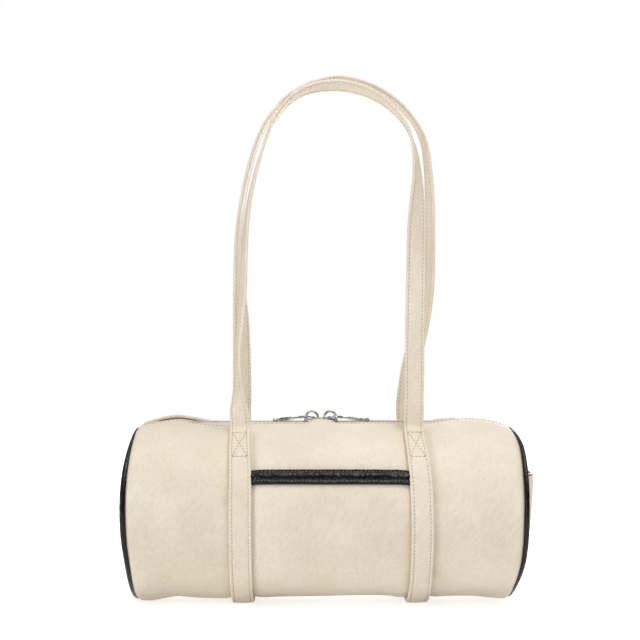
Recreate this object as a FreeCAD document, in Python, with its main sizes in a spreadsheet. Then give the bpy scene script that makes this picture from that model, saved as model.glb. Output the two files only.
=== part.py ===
import FreeCAD, Part
import math
import os

import Sketcher
from FreeCAD import Placement, Rotation, Vector

# Barrel shoulder bag: a lying barrel of soft leather with piped ends, a two-way zip along its top, two straps
# that run on round the barrel as sewn bands, a bound patch pocket in front and a patch pocket on the right
# end. X runs along the barrel with the right end at +X, the front is at -Y and +Z is up. The origin is the
# middle of the footprint on the surface that the bands stand on. Lengths are millimetres, angles degrees.

SIZES = {
    # barrel
    "barrel_diameter": 154,
    "barrel_length": 324,
    "panel_thickness": 1.6,
    "lining_thickness": 0.5,
    "mouth_width": 22,
    "layer_clearance": 0.2,
    "sewn_clearance": 0.1,
    # ends and piping
    "end_thickness": 1.6,
    "end_dome": 4,
    "end_ring_width": 5,
    "stiffener_thickness": 2,
    "piping_diameter": 4.2,
    "piping_proud": 1,
    # pocket on the right end
    "end_pocket_thickness": 1.4,
    "end_pocket_dome": 13,
    "end_pocket_mouth": 35,
    "end_binding_height": 3,
    "end_binding_lap": 0.8,
    # pocket on the front
    "pocket_thickness": 1.4,
    "pocket_top_angle": 22,
    "pocket_foot_angle": 68,
    "binding_height": 13,
    "binding_thickness": 2.2,
    # straps and bands
    "strap_width": 16,
    "strap_thickness": 2.4,
    "strap_spacing": 146,
    "strap_rise": 292,
    "strap_top_gap": 3,
    "strap_end_clearance": 0.3,
    "band_top_angle": 64,
    "base_flat_width": 28,
    # zip
    "zip_offset": 4,
    "tape_thickness": 0.6,
    "tape_width": 16,
    "chain_width": 6,
    "chain_thickness": 2.2,
    "spine_width": 1.8,
    "tooth_pitch": 2,
    "tooth_width": 0.9,
    "tooth_clearance": 0.2,
    "stop_length": 3,
    # sliders, crowns and pulls
    "slider_length": 13.5,
    "slider_width": 8.4,
    "slider_plate": 1.2,
    "slider_taper": 2,
    "slider_gap": 2.3,
    "flange_thickness": 0.8,
    "post_diameter": 1.9,
    "post_inset": 2,
    "running_clearance": 0.25,
    "crown_radius": 5.2,
    "crown_wire": 1.8,
    "pull_length": 26,
    "pull_width": 2.6,
    "pull_thickness": 1.6,
    "pull_lift": 1.2,
    "pull_eye": 5.2,
    "pull_bead": 3.6,
}

# A strap's route as shares of half the strap spacing, of the strap's rise and of a quarter turn: the strap
# lies flat on the barrel, turns edge on as it rises and runs flat over the shoulder. Leg and loop meet at the
# fold line.
FRONT_LEFT_SHARES = (
    (-1.0, 0.0, 0.0), (-1.0, 0.08, 0.42), (-1.01, 0.15, 0.68), (-1.0, 0.29, 0.8), (-0.98, 0.44, 0.86),
)
FRONT_LOOP_SHARES = (
    (-0.98, 0.44, 0.86), (-0.95, 0.58, 0.92), (-0.9, 0.7, 0.97), (-0.81, 0.8, 1.0), (-0.66, 0.88, 1.0),
    (-0.45, 0.945, 1.0), (-0.19, 0.988, 1.0), (0.1, 1.0, 1.0), (0.38, 0.988, 1.0), (0.64, 0.955, 1.0),
    (0.85, 0.9, 0.99), (0.98, 0.83, 0.92), (1.035, 0.74, 0.76), (1.045, 0.65, 0.56), (1.045, 0.55, 0.36),
    (1.04, 0.44, 0.2),
)
FRONT_RIGHT_SHARES = (
    (1.04, 0.44, 0.2), (1.035, 0.29, 0.11), (1.03, 0.14, 0.05), (1.0, 0.0, 0.0),
)
BACK_LEFT_SHARES = (
    (-1.0, 0.0, 0.0), (-1.0, 0.08, 0.3), (-1.0, 0.15, 0.5), (-1.02, 0.29, 0.7), (-1.03, 0.44, 0.82),
)
BACK_LOOP_SHARES = (
    (-1.03, 0.44, 0.82), (-1.01, 0.58, 0.9), (-0.965, 0.7, 0.97), (-0.87, 0.8, 1.0), (-0.71, 0.885, 1.0),
    (-0.49, 0.95, 1.0), (-0.21, 0.99, 1.0), (0.11, 1.005, 1.0), (0.44, 0.995, 1.0), (0.74, 0.96, 1.0),
    (0.98, 0.9, 0.99), (1.13, 0.825, 0.93), (1.2, 0.74, 0.8), (1.22, 0.65, 0.62), (1.21, 0.55, 0.42),
    (1.17, 0.44, 0.25),
)
BACK_RIGHT_SHARES = (
    (1.17, 0.44, 0.25), (1.09, 0.29, 0.14), (1.03, 0.14, 0.06), (1.0, 0.0, 0.0),
)

doc = FreeCAD.newDocument("barrel_bag")
sheet = doc.addObject("Spreadsheet::Sheet", "Sizes")
for row, (alias, size) in enumerate(SIZES.items(), start=1):
    sheet.set(f"A{row}", alias)
    sheet.set(f"B{row}", str(size))
    sheet.setAlias(f"B{row}", alias)
doc.recompute()

# Sizes that follow from those of the sheet, as formulas
BARREL_RADIUS = "Sizes.barrel_diameter / 2"
HALF_LENGTH = "Sizes.barrel_length / 2"
OUTER_LAYER = f"({BARREL_RADIUS} + Sizes.layer_clearance)"
BAND_RADIUS = f"({OUTER_LAYER} + Sizes.strap_thickness)"
INNER_LAYER = f"({BARREL_RADIUS} - Sizes.panel_thickness - Sizes.layer_clearance)"
LINING_RADIUS = f"({INNER_LAYER} - Sizes.tape_thickness - Sizes.layer_clearance)"
PIPING_RADIUS = "Sizes.piping_diameter / 2"
PIPING_RING = f"({BARREL_RADIUS} + Sizes.piping_proud - {PIPING_RADIUS})"
END_RADIUS = f"({PIPING_RING} - {PIPING_RADIUS} - Sizes.sewn_clearance)"
END_RING = f"({END_RADIUS} - Sizes.end_ring_width)"
MOUTH_ANGLE = f"asin(Sizes.mouth_width / 2 / ({BARREL_RADIUS})) / 1deg"
POCKET_WIDTH = "(Sizes.strap_spacing - Sizes.strap_width - 2 * Sizes.sewn_clearance)"
POCKET_SWEEP = "(Sizes.pocket_top_angle + Sizes.pocket_foot_angle)"
BINDING_SWEEP = f"(Sizes.binding_height / {OUTER_LAYER} * 1rad / 1deg)"
INNER_LENGTH = "(Sizes.barrel_length - 2 * Sizes.stiffener_thickness - 2 * Sizes.lining_thickness)"
ZIP_LENGTH = f"({INNER_LENGTH} - 2 * Sizes.sewn_clearance)"
PLATE_LEVEL = "(Sizes.chain_thickness / 2 + Sizes.running_clearance)"
FLANGE_LEVEL = "(Sizes.tape_thickness / 2 + 2 * Sizes.running_clearance)"
SLIDER_TOP = f"({PLATE_LEVEL} + Sizes.slider_plate)"
CROWN_LIFT = "(Sizes.pull_thickness / 2 + Sizes.pull_lift)"
PULL_HOLE = "(Sizes.crown_wire + 2 * Sizes.running_clearance)"


def mm(formula):
    """The value of a formula that is written in the sheet's aliases."""
    found = sheet.evalExpression(formula)
    return float(getattr(found, "Value", found))


# Places that follow from the sizes: the bands stand flat on the floor, and the box is centred on the origin
HALF_FLAT = mm("Sizes.base_flat_width / 2")
AXIS_HEIGHT = math.sqrt(mm(BAND_RADIUS) ** 2 - HALF_FLAT ** 2)
LEFT_REACH = mm(f"{HALF_LENGTH} + Sizes.end_thickness + Sizes.end_dome")
RIGHT_REACH = mm(f"{HALF_LENGTH} + Sizes.end_thickness + Sizes.end_pocket_dome + Sizes.end_pocket_thickness")
MIDDLE = Vector((LEFT_REACH - RIGHT_REACH) / 2, 0, AXIS_HEIGHT)
CHAIN_LEVEL = mm(f"{INNER_LAYER} - Sizes.tape_thickness / 2")
ZIP_MIDDLE = MIDDLE + Vector(-mm("Sizes.zip_offset"), 0, CHAIN_LEVEL)
SLIDER_STEP = mm("(Sizes.slider_length + Sizes.slider_gap) / 2")
QUARTER_TURN = 90
HALF_TURN = 2 * QUARTER_TURN
FULL_TURN = 4 * QUARTER_TURN
TOP_ANGLE = QUARTER_TURN
FRONT_ANGLE = HALF_TURN
BOTTOM_ANGLE = 3 * QUARTER_TURN
ALONG_BARREL = Rotation(Vector(1, 1, 1), FULL_TURN / 3)

sub_parts = []


def keep(made, label):
    """Marks an object of the document as a sub-part with that label."""
    made.Label = label
    sub_parts.append(made)
    return made


def primitive(kind, name, placement, **formulas):
    """A Part primitive whose sizes follow formulas of the sheet."""
    made = doc.addObject(f"Part::{kind}", name)
    for size, formula in formulas.items():
        made.setExpression(size, formula)
    made.Placement = placement
    return made


def on_axis(along, turn=0):
    """A place on the barrel's axis, with local Z along the barrel and local X turned up from the back."""
    return Placement(MIDDLE + Vector(along, 0, 0), ALONG_BARREL * Rotation(Vector(0, 0, 1), turn))


def cut(name, base, tool):
    made = doc.addObject("Part::Cut", name)
    made.Base = base
    made.Tool = tool
    return made


def ring_sector(name, outer, wall, length, start, sweep, middle=0):
    """Part of a tube round the barrel's axis. Angles run from the back over the top to the front."""
    place = on_axis(middle - mm(length) / 2, start)
    full = primitive("Cylinder", f"{name}_full", place, Radius=outer, Height=length, Angle=sweep)
    inner = f"{outer} - {wall}"
    bore = primitive("Cylinder", f"{name}_bore", place, Radius=inner, Height=length, Angle=sweep)
    return cut(f"{name}_sector", full, bore)


def origin_plane(body, role):
    return next(plane for plane in body.Origin.OriginFeatures if plane.Role == role)


def new_body(name, placement):
    body = doc.addObject("PartDesign::Body", name)
    body.Placement = placement
    return body


def new_sketch(body, role, level="0"):
    """A sketch on one of the body's own planes, lifted along the plane's normal by a formula."""
    sketch = body.newObject("Sketcher::SketchObject", f"{body.Name}_sketch")
    sketch.AttachmentSupport = (origin_plane(body, role), "")
    sketch.MapMode = "FlatFace"
    sketch.setExpression("AttachmentOffset.Base.z", level)
    return sketch


def constrain(sketch, constraint, formula):
    """Adds a constraint whose value follows a formula of the sheet."""
    index = sketch.addConstraint(constraint)
    sketch.setExpression(f"Constraints[{index}]", formula)


def place_point(sketch, edge, end, formulas):
    """Ties a point of an edge to the two formulas of its place."""
    for kind, axis, formula in (("DistanceX", -2, formulas[0]), ("DistanceY", -1, formulas[1])):
        if formula == "0":
            sketch.addConstraint(Sketcher.Constraint("PointOnObject", edge, end, axis))
        else:
            constrain(sketch, Sketcher.Constraint(kind, -1, 1, edge, end, mm(formula)), formula)


def circle_sketch(body, role, diameter, centre=("0", "0"), level="0"):
    sketch = new_sketch(body, role, level)
    radius = mm(f"{diameter} / 2")
    middle = Vector(mm(centre[0]), mm(centre[1]), 0)
    edge = sketch.addGeometry(Part.Circle(middle, Vector(0, 0, 1), radius), False)
    place_point(sketch, edge, 3, centre)
    constrain(sketch, Sketcher.Constraint("Radius", edge, radius), f"{diameter} / 2")
    return sketch


def outline_sketch(body, role, corners, arcs=None, level="0"):
    """A closed sketch through corners, each a pair of formulas. arcs gives the radius formula of the arc that
    leaves a corner, instead of a line; each arc bulges towards +X of the sketch."""
    sketch = new_sketch(body, role, level)
    arcs = arcs or {}
    points = [Vector(mm(x), mm(y), 0) for x, y in corners]
    ends = []
    for index, start in enumerate(points):
        finish = points[(index + 1) % len(points)]
        if index in arcs:
            radius = mm(arcs[index])
            half_chord = (finish - start).Length / 2
            bulge = radius - math.sqrt(radius ** 2 - half_chord ** 2)
            across = Vector(finish.y - start.y, start.x - finish.x, 0).normalize()
            across = across if across.x > 0 else -across
            edge = sketch.addGeometry(Part.Arc(start, (start + finish) / 2 + across * bulge, finish), False)
            begins = 1 if sketch.getPoint(edge, 1).distanceToPoint(start) < half_chord else 2
            constrain(sketch, Sketcher.Constraint("Radius", edge, radius), arcs[index])
        else:
            edge = sketch.addGeometry(Part.LineSegment(start, finish), False)
            begins = 1
        ends.append((edge, begins, 3 - begins))
    for index, (edge, begins, _) in enumerate(ends):
        before, _, finishes = ends[index - 1]
        sketch.addConstraint(Sketcher.Constraint("Coincident", before, finishes, edge, begins))
        place_point(sketch, edge, begins, corners[index])
    return sketch


def pad(body, sketch, length):
    made = body.newObject("PartDesign::Pad", f"{body.Name}_pad")
    made.Profile = sketch
    made.setExpression("Length", length)
    return made


def pocket_through(body, sketch, length):
    """Cuts the sketch out of the body to both sides of its plane."""
    doc.recompute()
    before = body.Shape.Volume
    made = body.newObject("PartDesign::Pocket", f"{body.Name}_pocket")
    made.Profile = sketch
    made.setExpression("Length", length)
    made.Midplane = True
    doc.recompute()
    if body.Shape.Volume >= before:
        raise RuntimeError(f"{body.Name}: the pocket cuts nothing")
    return made


def box_outline(left, right, near, far):
    """The four corners of an upright rectangle, as formulas."""
    return ((left, near), (right, near), (right, far), (left, far))


# Barrel: two panels that meet in a seam under the bottom, and the lining
def barrel_panels():
    sweep = f"{HALF_TURN} - {MOUTH_ANGLE}"
    length = "Sizes.barrel_length"
    wall = "Sizes.panel_thickness"
    front_start = TOP_ANGLE + mm(MOUTH_ANGLE)
    keep(ring_sector("front", BARREL_RADIUS, wall, length, front_start, sweep), "front_panel")
    keep(ring_sector("back", BARREL_RADIUS, wall, length, BOTTOM_ANGLE, sweep), "back_panel")


def barrel_lining():
    wall = "Sizes.lining_thickness"
    sweep = f"{FULL_TURN} - 2 * {MOUTH_ANGLE}"
    start = TOP_ANGLE + mm(MOUTH_ANGLE)
    keep(ring_sector("lining", LINING_RADIUS, wall, INNER_LENGTH, start, sweep), "lining_barrel")


# Ends: a domed panel, a flat stiffener and a flat lining in each, with piping round the edge
def disc(label, radius, thickness, inner_face, side):
    """A flat round piece whose inner face lies that far from the barrel's middle, to the side of a sign."""
    first = mm(inner_face) if side > 0 else -mm(inner_face) - mm(thickness)
    body = new_body(label, on_axis(first))
    pad(body, circle_sketch(body, "XY_Plane", f"2 * {radius}"), thickness)
    return keep(body, label)


def domed_body(name, inner_face, thickness, dome, side):
    """A round shell: a flat sewn ring and, inside it, a dome that swells away from the barrel."""
    turn = 0 if side > 0 else HALF_TURN
    body = new_body(name, Placement(MIDDLE, Rotation(Vector(0, 0, 1), turn)))
    outer_face = f"({inner_face} + {thickness})"
    corners = (
        (f"{inner_face} + {dome}", "0"),
        (f"{outer_face} + {dome}", "0"),
        (outer_face, END_RING),
        (outer_face, END_RADIUS),
        (inner_face, END_RADIUS),
        (inner_face, END_RING),
    )
    dome_radius = f"({END_RING} * {END_RING} + {dome} * {dome}) / (2 * {dome})"
    sketch = outline_sketch(body, "XY_Plane", corners, arcs={1: dome_radius, 5: dome_radius})
    turned = body.newObject("PartDesign::Revolution", f"{name}_turned")
    turned.Profile = sketch
    turned.ReferenceAxis = (sketch, ["H_Axis"])
    turned.Angle = FULL_TURN
    doc.recompute()
    return body


def barrel_ends():
    for side, word in ((-1, "left"), (1, "right")):
        keep(domed_body(f"end_panel_{word}", HALF_LENGTH, "Sizes.end_thickness", "Sizes.end_dome", side),
             f"end_panel_{word}")
        stiffener_face = f"({HALF_LENGTH} - Sizes.stiffener_thickness)"
        disc(f"end_stiffener_{word}", INNER_LAYER, "Sizes.stiffener_thickness", stiffener_face, side)
        lining_face = f"({stiffener_face} - Sizes.lining_thickness)"
        disc(f"lining_end_{word}", LINING_RADIUS, "Sizes.lining_thickness", lining_face, side)
        along = mm(f"{HALF_LENGTH} + {PIPING_RADIUS} + Sizes.sewn_clearance")
        piping = primitive("Torus", f"piping_{word}", on_axis(side * along),
                           Radius1=PIPING_RING, Radius2=PIPING_RADIUS)
        keep(piping, f"piping_{word}")


# Pocket on the right end: a deeper dome sewn on the end panel's ring, cut straight across at its mouth
def end_pocket():
    seat = f"({HALF_LENGTH} + Sizes.end_thickness)"
    dome = "Sizes.end_pocket_dome"
    panel = domed_body("end_pocket_panel", seat, "Sizes.end_pocket_thickness", dome, 1)
    reach = "Sizes.barrel_diameter"
    above = box_outline(f"-{reach}", reach, "Sizes.end_pocket_mouth", reach)
    pocket_through(panel, outline_sketch(panel, "YZ_Plane", above), "2 * Sizes.barrel_length")
    keep(panel, "end_pocket_panel")

    thickness = "(Sizes.end_pocket_thickness + Sizes.end_binding_lap)"
    binding = domed_body("end_pocket_binding", seat, thickness, dome, 1)
    pocket_through(binding, outline_sketch(
        binding, "YZ_Plane",
        box_outline(f"-{reach}", reach, "Sizes.end_pocket_mouth + Sizes.end_binding_height", reach),
    ), "2 * Sizes.barrel_length")
    pocket_through(binding, outline_sketch(
        binding, "YZ_Plane", box_outline(f"-{reach}", reach, f"-{reach}", "Sizes.end_pocket_mouth"),
    ), "2 * Sizes.barrel_length")
    keep(binding, "end_pocket_binding")


# Pocket on the front, between the bands, with its bound edge
def front_pocket():
    start = FRONT_ANGLE - mm("Sizes.pocket_top_angle")
    panel_radius = f"({OUTER_LAYER} + Sizes.pocket_thickness)"
    keep(ring_sector("pocket", panel_radius, "Sizes.pocket_thickness", POCKET_WIDTH, start, POCKET_SWEEP),
         "front_pocket_panel")
    binding_radius = f"({OUTER_LAYER} + Sizes.binding_thickness)"
    keep(ring_sector("binding", binding_radius, "Sizes.binding_thickness", POCKET_WIDTH,
                     start - mm(BINDING_SWEEP), BINDING_SWEEP), "front_pocket_binding")


# Bands: the straps' lower ends, sewn round the barrel and flattened where they stand on the floor
def bands():
    start = FRONT_ANGLE - mm("Sizes.band_top_angle")
    for side, word in ((-1, "left"), (1, "right")):
        middle = side * mm("Sizes.strap_spacing / 2")
        ring = ring_sector(f"band_{word}", BAND_RADIUS, "Sizes.strap_thickness", "Sizes.strap_width", start,
                           f"{HALF_TURN} + 2 * Sizes.band_top_angle", middle)
        width = mm("Sizes.strap_width")
        corner = Vector(MIDDLE.x + middle - width, -mm(BAND_RADIUS), -width)
        floor = primitive("Box", f"floor_{word}", Placement(corner, Rotation()), Width=f"2 * {BAND_RADIUS}",
                          Length="2 * Sizes.strap_width", Height="Sizes.strap_width")
        keep(cut(f"band_{word}_stood", ring, floor), f"strap_band_{word}")


# Straps: each leg hinges where its band ends, and the loop folds on the legs
def strap_hinge(side):
    """The line where a strap leaves its bands: the outer corner of the bands' ends."""
    rise = math.radians(mm("Sizes.band_top_angle"))
    radius = mm(BAND_RADIUS)
    return Vector(0, side * radius * math.cos(rise), AXIS_HEIGHT + radius * math.sin(rise))


def strap_stations(shares, side):
    """The centre of the strap at each station of its route, and how far it has turned edge on."""
    hinge = strap_hinge(side)
    foot = hinge - Vector(0, side * mm("Sizes.strap_thickness / 2"), -mm("Sizes.strap_end_clearance"))
    top = side * mm("(Sizes.strap_top_gap + Sizes.strap_width) / 2")
    stations = []
    for x_share, z_share, turn_share in shares:
        place = Vector(
            MIDDLE.x + x_share * mm("Sizes.strap_spacing / 2"),
            foot.y + (top - foot.y) * z_share,
            foot.z + z_share * mm("Sizes.strap_rise"),
        )
        stations.append((place, math.radians(turn_share * QUARTER_TURN)))
    return stations


def strap_section(place, run, turn, side):
    """The strap's rectangle, square to its run."""
    flat = Vector(run.z, 0, -run.x).normalize()
    across = flat * math.cos(turn) + Vector(0, side, 0) * math.sin(turn)
    across = (across - run * across.dot(run)).normalize()
    through = run.cross(across)
    half_width = across * mm("Sizes.strap_width / 2")
    half_thickness = through * mm("Sizes.strap_thickness / 2")
    corners = [
        place - half_width - half_thickness,
        place + half_width - half_thickness,
        place + half_width + half_thickness,
        place - half_width + half_thickness,
    ]
    return Part.makePolygon(corners + corners[:1])


def strap_run(label, shares, side):
    """A length of strap whose two ends are cut level."""
    stations = strap_stations(shares, side)
    sections = []
    for index, (place, turn) in enumerate(stations):
        before = stations[max(index - 1, 0)][0]
        after = stations[min(index + 1, len(stations) - 1)][0]
        run = (after - before).normalize()
        if index in (0, len(stations) - 1):
            run = Vector(0, 0, math.copysign(1, run.z))
        sections.append(strap_section(place, run, turn, side))
    made = doc.addObject("Part::Feature", label)
    made.Shape = Part.makeLoft(sections, True, False)
    made.Placement = Placement()
    return keep(made, label)


def straps():
    routes = (
        ("front", -1, FRONT_LEFT_SHARES, FRONT_LOOP_SHARES, FRONT_RIGHT_SHARES),
        ("back", 1, BACK_LEFT_SHARES, BACK_LOOP_SHARES, BACK_RIGHT_SHARES),
    )
    for word, side, left_shares, loop_shares, right_shares in routes:
        strap_run(f"strap_{word}_leg_left", left_shares, side)
        strap_run(f"strap_{word}_loop", loop_shares, side)
        strap_run(f"strap_{word}_leg_right", right_shares, side)


# Zip: a curved tape under each lip of the mouth, interlocking teeth along the middle and a stop at each end
def zip_tapes():
    edge = "(Sizes.chain_width / 2 + Sizes.sewn_clearance)"
    first = f"asin({edge} / {INNER_LAYER}) / 1deg"
    sweep = f"asin(({edge} + Sizes.tape_width) / {INNER_LAYER}) / 1deg - {first}"
    wall = "Sizes.tape_thickness"
    front_start = TOP_ANGLE + mm(first)
    back_start = TOP_ANGLE - mm(first) - mm(sweep)
    keep(ring_sector("tape_front", INNER_LAYER, wall, ZIP_LENGTH, front_start, sweep), "zip_tape_front")
    keep(ring_sector("tape_back", INNER_LAYER, wall, ZIP_LENGTH, back_start, sweep), "zip_tape_back")


def zip_teeth(label, side, phase_share):
    """A spine with teeth that reach past the middle, but none where the two sliders' posts stand."""
    half = mm(f"{ZIP_LENGTH} / 2 - Sizes.stop_length")
    pitch = mm("Sizes.tooth_pitch")
    outer = mm("Sizes.chain_width / 2")
    inner = outer - mm("Sizes.spine_width")
    tip = inner - mm("Sizes.tooth_clearance")
    half_tooth = mm("Sizes.tooth_width / 2")
    posts = mm("Sizes.slider_gap / 2 + Sizes.post_inset + Sizes.post_diameter")
    meeting = -mm("Sizes.zip_offset")
    outline = [Vector(-half, side * outer, 0), Vector(-half, side * inner, 0)]
    count = int(half / pitch) - 1
    for number in range(-count, count + 1):
        centre = (number + phase_share) * pitch
        if abs(centre - meeting) < posts + half_tooth:
            continue
        outline += [
            Vector(centre - half_tooth, side * inner, 0),
            Vector(centre - half_tooth, -side * tip, 0),
            Vector(centre + half_tooth, -side * tip, 0),
            Vector(centre + half_tooth, side * inner, 0),
        ]
    outline += [Vector(half, side * inner, 0), Vector(half, side * outer, 0)]
    face = Part.Face(Part.makePolygon(outline + outline[:1]))
    made = doc.addObject("Part::Feature", label)
    made.Shape = face.extrude(Vector(0, 0, mm("Sizes.chain_thickness")))
    bottom = CHAIN_LEVEL - mm("Sizes.chain_thickness / 2")
    made.Placement = Placement(MIDDLE + Vector(0, 0, bottom), Rotation())
    return keep(made, label)


def zip_stops():
    ends = []
    for side, word in ((-1, "left"), (1, "right")):
        inner = mm(f"{ZIP_LENGTH} / 2 - Sizes.stop_length")
        first = inner if side > 0 else -inner - mm("Sizes.stop_length")
        bottom = CHAIN_LEVEL - mm("Sizes.chain_thickness / 2")
        place = Placement(MIDDLE + Vector(first, -mm("Sizes.chain_width / 2"), bottom), Rotation())
        ends.append(primitive("Box", f"zip_stop_{word}", place, Length="Sizes.stop_length",
                              Width="Sizes.chain_width", Height="Sizes.chain_thickness"))
    pair = doc.addObject("Part::Compound", "zip_stop_pair")
    pair.Links = ends
    keep(pair, "zip_stops")


# Sliders: two plates on a post, with flanges that close round the teeth; a wire crown carries each pull
def slider_place(side, level=0):
    """A slider's own frame: its nose, with the post, points along local +X to the other slider."""
    turn = 0 if side < 0 else HALF_TURN
    return Placement(ZIP_MIDDLE + Vector(side * SLIDER_STEP, 0, level), Rotation(Vector(0, 0, 1), turn))


def slider(word, side):
    body = new_body(f"slider_{word}", slider_place(side))
    half = "Sizes.slider_length / 2"
    wide = "Sizes.slider_width / 2"
    shoulder = f"{half} - Sizes.slider_taper"
    narrow = f"{wide} - Sizes.slider_taper"
    plate = (
        (f"-{half}", f"-{wide}"), (shoulder, f"-{wide}"), (half, f"-({narrow})"),
        (half, narrow), (shoulder, wide), (f"-{half}", wide),
    )
    pad(body, outline_sketch(body, "XY_Plane", plate, level=f"-{SLIDER_TOP}"), "Sizes.slider_plate")
    post = circle_sketch(body, "XY_Plane", "Sizes.post_diameter", (f"{half} - Sizes.post_inset", "0"),
                         f"-{PLATE_LEVEL}")
    pad(body, post, f"2 * {PLATE_LEVEL}")
    pad(body, outline_sketch(body, "XY_Plane", plate, level=PLATE_LEVEL), "Sizes.slider_plate")
    inside = f"{wide} - Sizes.flange_thickness"
    for near, far in ((inside, wide), (f"-{wide}", f"-({inside})")):
        flange = box_outline(f"-{half}", shoulder, near, far)
        height = f"{PLATE_LEVEL} - {FLANGE_LEVEL}"
        pad(body, outline_sketch(body, "XY_Plane", flange, level=f"-{PLATE_LEVEL}"), height)
        pad(body, outline_sketch(body, "XY_Plane", flange, level=FLANGE_LEVEL), height)
    keep(body, f"slider_{word}")


def crown(word, side):
    """A wire arch that stands on the slider's top plate."""
    lift = mm(f"{SLIDER_TOP} + {CROWN_LIFT}")
    upright = Placement(Vector(), Rotation(Vector(1, 0, 0), QUARTER_TURN))
    wire = "Sizes.crown_wire / 2"
    pieces = [primitive("Torus", f"crown_arch_{word}", slider_place(side, lift) * upright,
                        Radius1="Sizes.crown_radius", Radius2=wire, Angle3=str(HALF_TURN))]
    for end in (-1, 1):
        foot = slider_place(side, mm(SLIDER_TOP))
        foot.Base += Vector(end * mm("Sizes.crown_radius"), 0, 0)
        pieces.append(primitive("Cylinder", f"crown_leg_{word}", foot, Radius=wire, Height=CROWN_LIFT))
    joined = doc.addObject("Part::MultiFuse", f"crown_wire_{word}")
    joined.Shapes = pieces
    keep(joined, f"crown_{word}")


def pull(word, side):
    """A flat bar with an eye on the crown and a round bead at its tip, lying outwards along the zip."""
    body = new_body(f"pull_{word}", slider_place(side, mm(f"{SLIDER_TOP} + {CROWN_LIFT}")))
    bottom = "-Sizes.pull_thickness / 2"
    eye_centre = ("-Sizes.crown_radius", "0")
    tip = "-(Sizes.crown_radius + Sizes.pull_length - Sizes.pull_bead / 2)"
    half = "Sizes.pull_width / 2"
    pad(body, circle_sketch(body, "XY_Plane", "Sizes.pull_eye", eye_centre, bottom), "Sizes.pull_thickness")
    bar = box_outline(tip, eye_centre[0], f"-{half}", half)
    pad(body, outline_sketch(body, "XY_Plane", bar, level=bottom), "Sizes.pull_thickness")
    pad(body, circle_sketch(body, "XY_Plane", "Sizes.pull_bead", (tip, "0"), bottom), "Sizes.pull_thickness")
    hole = circle_sketch(body, "XY_Plane", PULL_HOLE, eye_centre)
    pocket_through(body, hole, "2 * Sizes.pull_thickness")
    keep(body, f"pull_{word}")


def zip_fastener():
    zip_tapes()
    zip_teeth("zip_teeth_front", -1, 0)
    zip_teeth("zip_teeth_back", 1, 0.5)
    zip_stops()
    for side, word in ((-1, "left"), (1, "right")):
        slider(word, side)
        crown(word, side)
        pull(word, side)


def check_document():
    """Stops if any object failed to build or any sub-part has no sound shape."""
    for made in doc.Objects:
        if "Invalid" in made.State or "Error" in made.State:
            raise RuntimeError(f"{made.Name} failed: {made.State}")
    for made in sub_parts:
        if made.Shape.isNull() or not made.Shape.isValid() or not made.Shape.Solids:
            raise RuntimeError(f"{made.Label} has no sound shape")


def print_places():
    """The places of the joints and of the spaces, for whoever describes the part."""
    print("middle of the barrel's axis", tuple(MIDDLE))
    print("zip middle", tuple(ZIP_MIDDLE), "slider step", SLIDER_STEP)
    print("pull axis height", ZIP_MIDDLE.z + mm(f"{SLIDER_TOP} + {CROWN_LIFT}"))
    for side, word in ((-1, "front"), (1, "back")):
        print(word, "strap hinge", tuple(strap_hinge(side)))
    for made in sub_parts:
        box = made.Shape.optimalBoundingBox(False)
        spans = [f"{low:.2f}..{high:.2f}" for low, high in
                 ((box.XMin, box.XMax), (box.YMin, box.YMax), (box.ZMin, box.ZMax))]
        print(f"{made.Label}: {len(made.Shape.Solids)} solid, {made.Shape.Volume:.0f} mm3,", ", ".join(spans))


barrel_panels()
barrel_lining()
barrel_ends()
end_pocket()
front_pocket()
bands()
straps()
zip_fastener()
doc.recompute()
check_document()
print_places()
os.makedirs("parts", exist_ok=True)
for sub_part in sub_parts:
    sub_part.Shape.exportStep(os.path.join("parts", f"{sub_part.Label}.step"))
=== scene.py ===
# %% [markdown]
# # A barrel shoulder bag, sewn from flat patterns
# The bag is a lying barrel of cream leather with black piping round its ends, a zip along its top and two
# straps that run on round it as sewn bands. A maker cuts every one of these pieces flat and sews them
# round. This lesson does the same: a piece starts as a flat grid, its pattern, and a function wraps that
# grid round the soft barrel. The frame gives the sizes and places, so each piece lands where the
# construction says.

# %% The frame
import math
from bisect import bisect_right
from functools import partial

import bmesh
import bpy
from mathutils import Matrix, Vector, noise


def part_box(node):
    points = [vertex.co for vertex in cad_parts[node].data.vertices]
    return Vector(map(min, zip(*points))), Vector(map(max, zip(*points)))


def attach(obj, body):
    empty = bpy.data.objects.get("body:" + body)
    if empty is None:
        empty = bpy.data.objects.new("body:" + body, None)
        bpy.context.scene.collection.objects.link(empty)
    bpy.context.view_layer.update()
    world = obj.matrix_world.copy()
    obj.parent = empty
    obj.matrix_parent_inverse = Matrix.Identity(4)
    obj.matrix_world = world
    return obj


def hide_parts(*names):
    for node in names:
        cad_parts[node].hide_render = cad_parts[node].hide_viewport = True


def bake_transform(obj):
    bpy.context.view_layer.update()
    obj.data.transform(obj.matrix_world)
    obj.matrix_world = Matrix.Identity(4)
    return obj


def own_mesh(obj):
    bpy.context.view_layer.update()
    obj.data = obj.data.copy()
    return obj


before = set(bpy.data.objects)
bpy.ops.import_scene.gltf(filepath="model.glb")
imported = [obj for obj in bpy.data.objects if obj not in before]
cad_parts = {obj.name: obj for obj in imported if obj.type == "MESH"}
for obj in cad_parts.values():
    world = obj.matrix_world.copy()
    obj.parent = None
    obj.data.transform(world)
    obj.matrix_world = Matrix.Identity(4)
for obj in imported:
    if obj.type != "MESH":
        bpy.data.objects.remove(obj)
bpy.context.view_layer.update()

MM = 0.001  # patterns are drawn in millimetres, and a finished piece is scaled to metres
ENDS = ((-1, "left"), (1, "right"))
FACES = ((-1, "front"), (1, "back"))


def node_box(node):
    """The lowest and highest corner of a CAD node, in millimetres."""
    low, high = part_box(node)
    return low / MM, high / MM


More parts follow.
